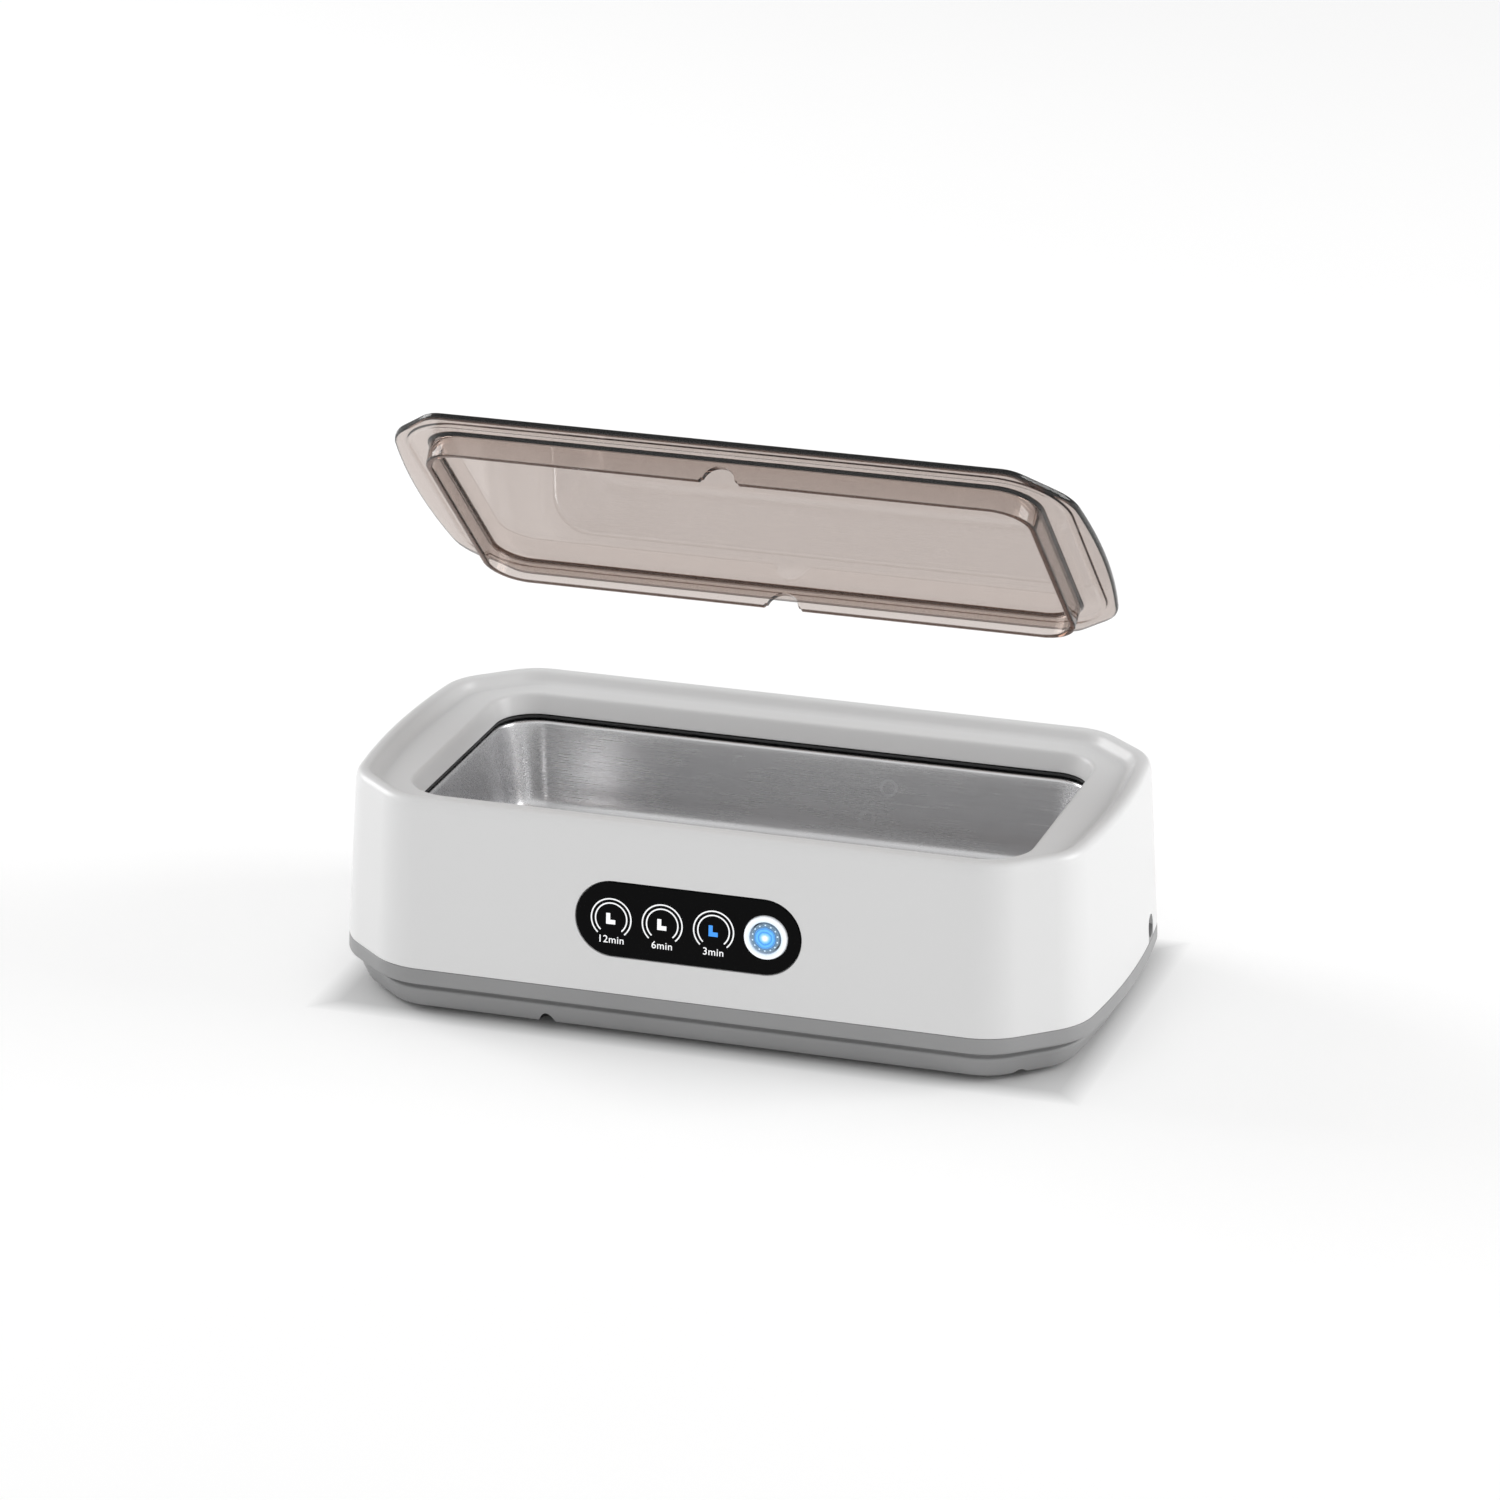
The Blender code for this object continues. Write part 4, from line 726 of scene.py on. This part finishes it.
RING_SEG = 96
cap = lathe("button_ring", [(RING_HOLE, -2.2), (FLANGE_R, -2.2), (FLANGE_R, -1.3), (BR, -1.3), (BR, 0.45),
                            (BR - 0.06, 0.66), (BR - 0.2, 0.83), (BR - 0.42, 0.93), (BR - 0.75, 0.95),
                            (5.0, 0.93), (4.6, 0.87), (4.42, 0.8), (4.32, 0.66), (RING_HOLE, 0.5)],
            None, RING_SEG, BTN_AT)
me = cap.data
bm = bmesh.new()
bm.from_mesh(me)
caps = [f for f in bm.faces if len(f.verts) > 4]       # the end faces give way to a wall between them
rims = [sorted(f.verts, key=lambda q: math.atan2(q.co.y, q.co.x)) for f in caps]
bmesh.ops.delete(bm, geom=caps, context="FACES_ONLY")
for k in range(RING_SEG):
    a, c = rims
    bm.faces.new((a[k], a[(k + 1) % RING_SEG], c[(k + 1) % RING_SEG], c[k]))
bmesh.ops.recalc_face_normals(bm, faces=bm.faces)
bm.to_mesh(me)
bm.free()
me.materials.append(RING_GLOW)
bake(cap, 40)
place(cap, "button", "button_white", "button_cap")
face = lathe("button_light", [(0.0, -3.4), (BL, -3.4), (BL, 0.4), (BL - 0.08, 0.6), (BL - 0.25, 0.74),
                              (3.3, 0.8), (2.4, 0.84), (1.2, 0.85), (0.0, 0.85)], LENS_GLOW, 72, BTN_AT)
bake(face, 40)
place(face, "button", "button_blue", "button_lens")

# ---- power inlet --------------------------------------------------------------------------------------
jack = boxes("inlet_body", [(jl[0], jh[0], jl[1], jh[1], jl[2], jh[2])], JACKM, bevel=0.35)
INLET_AT = Matrix.Translation(JACK * MM) @ Matrix.Rotation(math.pi / 2, 4, "Y")
combine(jack, lathe("cut_bore", [(2.96, -9.5), (2.96, -0.35), (3.2, 0.0), (3.4, 1.0)], seg=64, at=INLET_AT))
combine(jack, lathe("cut_pin", [(1.35, -16.0), (1.35, -8.0)], seg=24, at=INLET_AT))
bake(jack, 35)
place(jack, "housing", "black_resin", "power_jack")
pin = lathe("inlet_pin", [(0.0, -15.7), (1.0, -15.7), (1.0, -5.3), (0.92, -4.85), (0.7, -4.58), (0.4, -4.5),
                          (0.0, -4.5)], NICKEL, 32, INLET_AT)
bake(pin, 40)
place(pin, "housing", "nickel", "jack_pin")

# ---- smoked lid ---------------------------------------------------------------------------------------
m, nt, b = new_mat("smoked_clear_plastic")
v = coords(nt)
b.inputs["Base Color"].default_value = (0.97, 0.97, 0.97, 1)
b.inputs["Specular IOR Level"].default_value = 0.25
b.inputs["Transmission Weight"].default_value = 1.0
b.inputs["IOR"].default_value = 1.49
smudge = noise(nt, v, 26, 5, 0.6)
nt.links.new(remap(nt, smudge, 0.45, 0.8, 0.004, 0.035), b.inputs["Roughness"])
bump(nt, b, noise(nt, v, 60, 2), 0.3, 2.0e-5)
va = nt.nodes.new("ShaderNodeVolumeAbsorption")
va.inputs["Color"].default_value = (0.50, 0.365, 0.29, 1)
va.inputs["Density"].default_value = 380.0
out = nt.nodes["Material Output"]
nt.links.new(va.outputs[0], out.inputs["Volume"])
SMOKE = m

lj = JOINTS["lid_lift"]
AX = Vector(lj["pos_m"])
tilt = math.radians(lj["range_deg"][1])
SEAT_GAP = 1.2                                         # the closed lid's origin over the ledge
SEAT = LEDGE + SEAT_GAP
LID_AT = (Matrix.Translation(AX) @ Matrix.Rotation(-tilt, 4, "X") @ Matrix.Translation(-AX)
          @ Matrix.Translation((0, 0, SEAT * MM)))
SKIRT_X, SKIRT_Y = 0.5, 0.45                           # room between the skirt and the wall of the well
KX, KY, DROP = WX - SKIRT_X, WY - SKIRT_Y, 7.0
U, RAISED = -0.6, 1.4                                  # underside and raised top of the plate
keys = [rr(KX - 5.5, KY - 5.5, 7.0, U), rr(KX - 3.4, KY - 3.4, 8.3, U), rr(KX - 2.4, KY - 2.4, 9.1, U - 0.04),
        rr(KX - 2.0, KY - 2.0, 9.5, U - 0.3), rr(KX - 1.9, KY - 1.9, 9.6, U - 0.9),
        rr(KX - 2.1, KY - 2.05, 9.4, 0.6 - DROP), rr(KX - 2.05, KY - 2.0, 9.5, 0.15 - DROP),
        rr(KX - 1.8, KY - 1.75, 9.7, -DROP), rr(KX - 0.8, KY - 0.7, 10.6, -DROP),
        rr(KX - 0.45, KY - 0.35, 10.8, 0.15 - DROP), rr(KX - 0.4, KY - 0.3, 10.9, 0.6 - DROP),
        rr(KX - 0.05, KY - 0.05, 11.3, U - 1.3), rr(KX + 0.05, KY + 0.05, 11.4, U - 0.6),
        rr(KX + 0.5, KY + 0.4, 11.7, U - 0.08), rr(KX + 1.2, KY + 0.9, 12.2, U),
        rr(KX + 5.0, KY + 2.1, 15.1, U), rr(KX + 5.6, KY + 2.6, 15.8, U - 0.04),
        rr(KX + 6.2, KY + 3.2, 16.1, U - 0.24), rr(KX + 6.9, KY + 3.9, 16.5, U - 0.3),
        lid_ring(0.9, -0.9), lid_ring(0.3, -0.8), lid_ring(0.0, -0.45), lid_ring(0.0, 0.5),
        lid_ring(0.2, 0.83), lid_ring(0.8, 1.08), rr(KX + 8.2, KY + 5.0, 19.6, 1.1),
        rr(KX + 7.6, KY + 4.5, 19.3, 1.14), rr(KX + 7.1, KY + 4.0, 18.9, 1.34),
        rr(KX + 6.5, KY + 3.5, 18.4, RAISED), rr(KX + 4.0, KY + 1.2, 15.5, RAISED),
        rr(KX - 5.5, KY - 5.5, 7.0, RAISED)]
lid = loft("lid_clear", soften(keys, 2, closed=False), SMOKE, at=LID_AT, keep=False)


def notch_ring(y):
    """Half-round notch with rolled shoulders, cut up from the skirt's edge."""
    zb = -DROP
    p = [(-12.0, zb - 3.0), (-12.0, zb - 0.02), (-6.3, zb - 0.02)]
    p += [(-5.9 + 1.0 * math.sin(a), zb - 0.02 + 1.0 - 1.0 * math.cos(a)) for a in
          [math.radians(80) * k / 8 for k in range(1, 9)]]
    q = [(4.45 * math.cos(a), zb - 0.1 + 4.5 * math.sin(a)) for a in
         [math.radians(167) - math.radians(154) * k / 24 for k in range(25)]]
    p += q + [(-x, z) for x, z in reversed(p)]
    return [(x, y, z) for x, z in p]


combine(lid, loft("cut_notch", [notch_ring(-60), notch_ring(60)], at=LID_AT))
bake(lid, 40, weighted=False)
place(lid, "lid", "smoked_clear", "lid")

# ---- pieces inside the housing: their CAD shape, with finished materials --------------------------------
NY = moulded("nylon_white", (0.74, 0.73, 0.69), 0.48, vary=0.05, grain=2400, height=5e-6)
INNER = {
    "clamp_frame": moulded("clamp_nylon_skin", (0.34, 0.34, 0.35), 0.58, vary=0.08, grain=1800, height=8e-6),
    "transducer_bond": moulded("cured_epoxy", (0.25, 0.16, 0.06), 0.35,
                               vary=0.25, grain=300, height=3e-5, big=60),
    "piezo_disc": brushed("fired_silver", (0.72, 0.70, 0.66), 0.38, (1, 1, 1), height=8e-6),
    "heat_sink": brushed("extruded_aluminium", (0.56, 0.57, 0.59), 0.34, (1, 1, 0.05), height=8e-6),
    "transformer": moulded("ferrite_core", (0.06, 0.06, 0.065), 0.5,
                           vary=0.2, grain=900, height=2e-5, speck=0.5),
    "capacitor": moulded("blue_sleeve_skin", (0.03, 0.05, 0.16), 0.3, vary=0.1, grain=1500, height=4e-6),
    "film_capacitor": moulded("dipped_yellow", (0.72, 0.46, 0.05), 0.32, vary=0.08, grain=500, height=2e-5),
    "power_transistor": moulded("epoxy_black", (0.03, 0.03, 0.03), 0.42, vary=0.15, grain=2600, height=6e-6),
    "jack_leaf": NICKEL,
    "wire_supply_red": moulded("pvc_red", (0.55, 0.03, 0.02), 0.42, vary=0.08, grain=1500, height=5e-6),
    "wire_supply_black": moulded("pvc_black", (0.02, 0.02, 0.02), 0.42, vary=0.15, grain=1500, height=5e-6),
    "wire_piezo_yellow": moulded("pvc_yellow", (0.75, 0.55, 0.05), 0.42, vary=0.08, grain=1500, height=5e-6),
    "wire_piezo_blue": moulded("pvc_blue", (0.03, 0.10, 0.50), 0.42, vary=0.08, grain=1500, height=5e-6),
    "switch_plunger": moulded("plunger_red", (0.55, 0.10, 0.05), 0.4, vary=0.06, grain=1500, height=5e-6),
    "tact_switch": moulded("switch_black", (0.05, 0.05, 0.05), 0.42, vary=0.15, grain=2600, height=5e-6),
    "light_frame": NY,
}
INNER["inductor"] = INNER["transformer"]
for n in ("jack_connector", "transducer_connector", "control_connector"):
    INNER[n] = NY
LED = moulded("led_resin", (0.85, 0.83, 0.70), 0.25, vary=0.05, grain=1500, height=3e-6, coat=0.4)


def board(name, mask, copper):
    """Circuit board: solder mask over tracks, with pads and a woven core showing faintly."""
    m, nt, b = new_mat(name)
    v = coords(nt)
    br = nt.nodes.new("ShaderNodeTexBrick")
    br.inputs["Scale"].default_value = 170
    br.inputs["Mortar Size"].default_value = 0.09
    br.inputs["Brick Width"].default_value = 1.7
    br.offset = 0.35
    nt.links.new(v, br.inputs["Vector"])
    tracks = mix_rgb(nt, br.outputs["Fac"], tuple(c * 1.25 for c in mask), tuple(c * 0.75 for c in mask))
    vo = nt.nodes.new("ShaderNodeTexVoronoi")
    vo.inputs["Scale"].default_value = 240
    vo.inputs["Randomness"].default_value = 0.55
    nt.links.new(v, vo.inputs["Vector"])
    pads = math_node(nt, "MULTIPLY", remap(nt, vo.outputs["Distance"], 0.14, 0.17, 1, 0),
                     remap(nt, noise(nt, v, 60, 2), 0.52, 0.55, 0, 1))
    nt.links.new(mix_rgb(nt, pads, tracks, copper), b.inputs["Base Color"])
    nt.links.new(pads, b.inputs["Metallic"])
    nt.links.new(remap(nt, noise(nt, v, 200, 4), 0.3, 0.7, 0.25, 0.42), b.inputs["Roughness"])
    bump(nt, b, br.outputs["Fac"], 0.5, 2e-5)
    return m


INNER["main_board"] = board("board_green", (0.02, 0.13, 0.05), (0.75, 0.72, 0.66))
INNER["control_board"] = board("board_white", (0.60, 0.62, 0.60), (0.75, 0.72, 0.66))

m, nt, b = new_mat("ribbon_jacket")
v = coords(nt)
wv = nt.nodes.new("ShaderNodeTexWave")
wv.inputs["Scale"].default_value = 250
wv.inputs["Distortion"].default_value = 0.3
nt.links.new(v, wv.inputs["Vector"])
nt.links.new(mix_rgb(nt, wv.outputs["Fac"], (0.28, 0.29, 0.31), (0.47, 0.48, 0.50)), b.inputs["Base Color"])
nt.links.new(remap(nt, wv.outputs["Fac"], 0, 1, 0.42, 0.55), b.inputs["Roughness"])
bump(nt, b, wv.outputs["Fac"], 0.7, 1.5e-4)
INNER["ribbon_cable"] = m

for name, ob in frame["nodes"].items():
    if ob.hide_render:
        continue
    if name.startswith("led_"):
        mat = LED
    elif "screw" in name:
        mat = ZINC
    else:
        mat = INNER[name]
    if not ob.material_slots:
        ob.data.materials.append(mat)
    for s in ob.material_slots:
        s.material = mat

# ---- floor, light, camera -----------------------------------------------------------------------------
FLOOR_GLOW, FLOOR_SIZE, FLOOR_DROP = 0.30, 6.0, 0.0002  # glow, half side and depth in metres
m, nt, b = new_mat("pale_floor")
v = coords(nt)
tone = remap(nt, noise(nt, v, 3, 3), 0.3, 0.7, 0, 1)
nt.links.new(mix_rgb(nt, tone, (0.69, 0.69, 0.69), (0.70, 0.70, 0.70)), b.inputs["Base Color"])
b.inputs["Roughness"].default_value = 0.6
b.inputs["Specular IOR Level"].default_value = 0.2
b.inputs["Emission Color"].default_value = (1.0, 1.0, 1.0, 1)
xyz = nt.nodes.new("ShaderNodeSeparateXYZ")             # the glow stops under the body: a painted shadow on the floor
nt.links.new(v, xyz.inputs[0])
edge = math_node(nt, "MAXIMUM",
                 math_node(nt, "SUBTRACT", math_node(nt, "ABSOLUTE", xyz.outputs["X"]), HALF_L * MM),
                 math_node(nt, "SUBTRACT", math_node(nt, "ABSOLUTE", xyz.outputs["Y"]), HALF_W * MM))
nt.links.new(remap(nt, edge, -0.006, 0.002, 0.0, FLOOR_GLOW), b.inputs["Emission Strength"])
bm = bmesh.new()
bmesh.ops.create_grid(bm, x_segments=1, y_segments=1, size=FLOOR_SIZE)
floor = from_bm("floor", bm, m)
floor.location.z = -FLOOR_DROP

SKY_LOW, SKY_HIGH = 0.95, 0.66                         # sky at the horizon and overhead
SKY_REAR = 0.5                                         # share that is left behind the object
world = bpy.data.worlds.new("studio")
SCENE.world = world
world.use_nodes = True
wt = world.node_tree
wt.nodes["Background"].inputs["Color"].default_value = (1.0, 1.0, 1.0, 1)
tc = wt.nodes.new("ShaderNodeTexCoord")
up = wt.nodes.new("ShaderNodeSeparateXYZ")
wt.links.new(tc.outputs["Generated"], up.inputs[0])
high = remap(wt, up.outputs["Z"], 0.55, 0.85, SKY_LOW, SKY_HIGH)
rear = remap(wt, up.outputs["Y"], 0.1, 0.9, 1.0, SKY_REAR)
wt.links.new(math_node(wt, "MULTIPLY", high, rear), wt.nodes["Background"].inputs["Strength"])


def area(name, at, target, size, watts):
    """White lamp with a rectangular face, aimed at a point."""
    d = bpy.data.lights.new(name, "AREA")
    d.shape = "RECTANGLE"
    d.size, d.size_y = size
    d.energy = watts
    d.color = (1, 1, 1)
    o = bpy.data.objects.new(name, d)
    SCENE.collection.objects.link(o)
    o.location = at
    o.rotation_euler = (Vector(target) - Vector(at)).to_track_quat("-Z", "Y").to_euler()


LAMP_SIZE, LAMP_AIM = (0.8, 0.9), (0, 0, 0.03)
area("key_right", (1.42, 0.36, 0.70), LAMP_AIM, LAMP_SIZE, 11.2)
area("fill_left", (-1.42, 0.30, 0.70), LAMP_AIM, LAMP_SIZE, 11.0)

CAMERA_AT = (0.483735, -1.516016, 0.652638)
CAMERA_TURN = (69.70786, -0.14398, 17.79522)            # tilt, roll and heading in degrees
cam = bpy.data.cameras.new("camera")
cam_ob = bpy.data.objects.new("camera", cam)
SCENE.collection.objects.link(cam_ob)
cam_ob.location = CAMERA_AT
cam_ob.rotation_euler = [math.radians(a) for a in CAMERA_TURN]
cam.sensor_width = 36.0
cam.lens = 153.109
cam.clip_start, cam.clip_end = 0.05, 50.0
SCENE.camera = cam_ob
SCENE.view_settings.view_transform = "Standard"
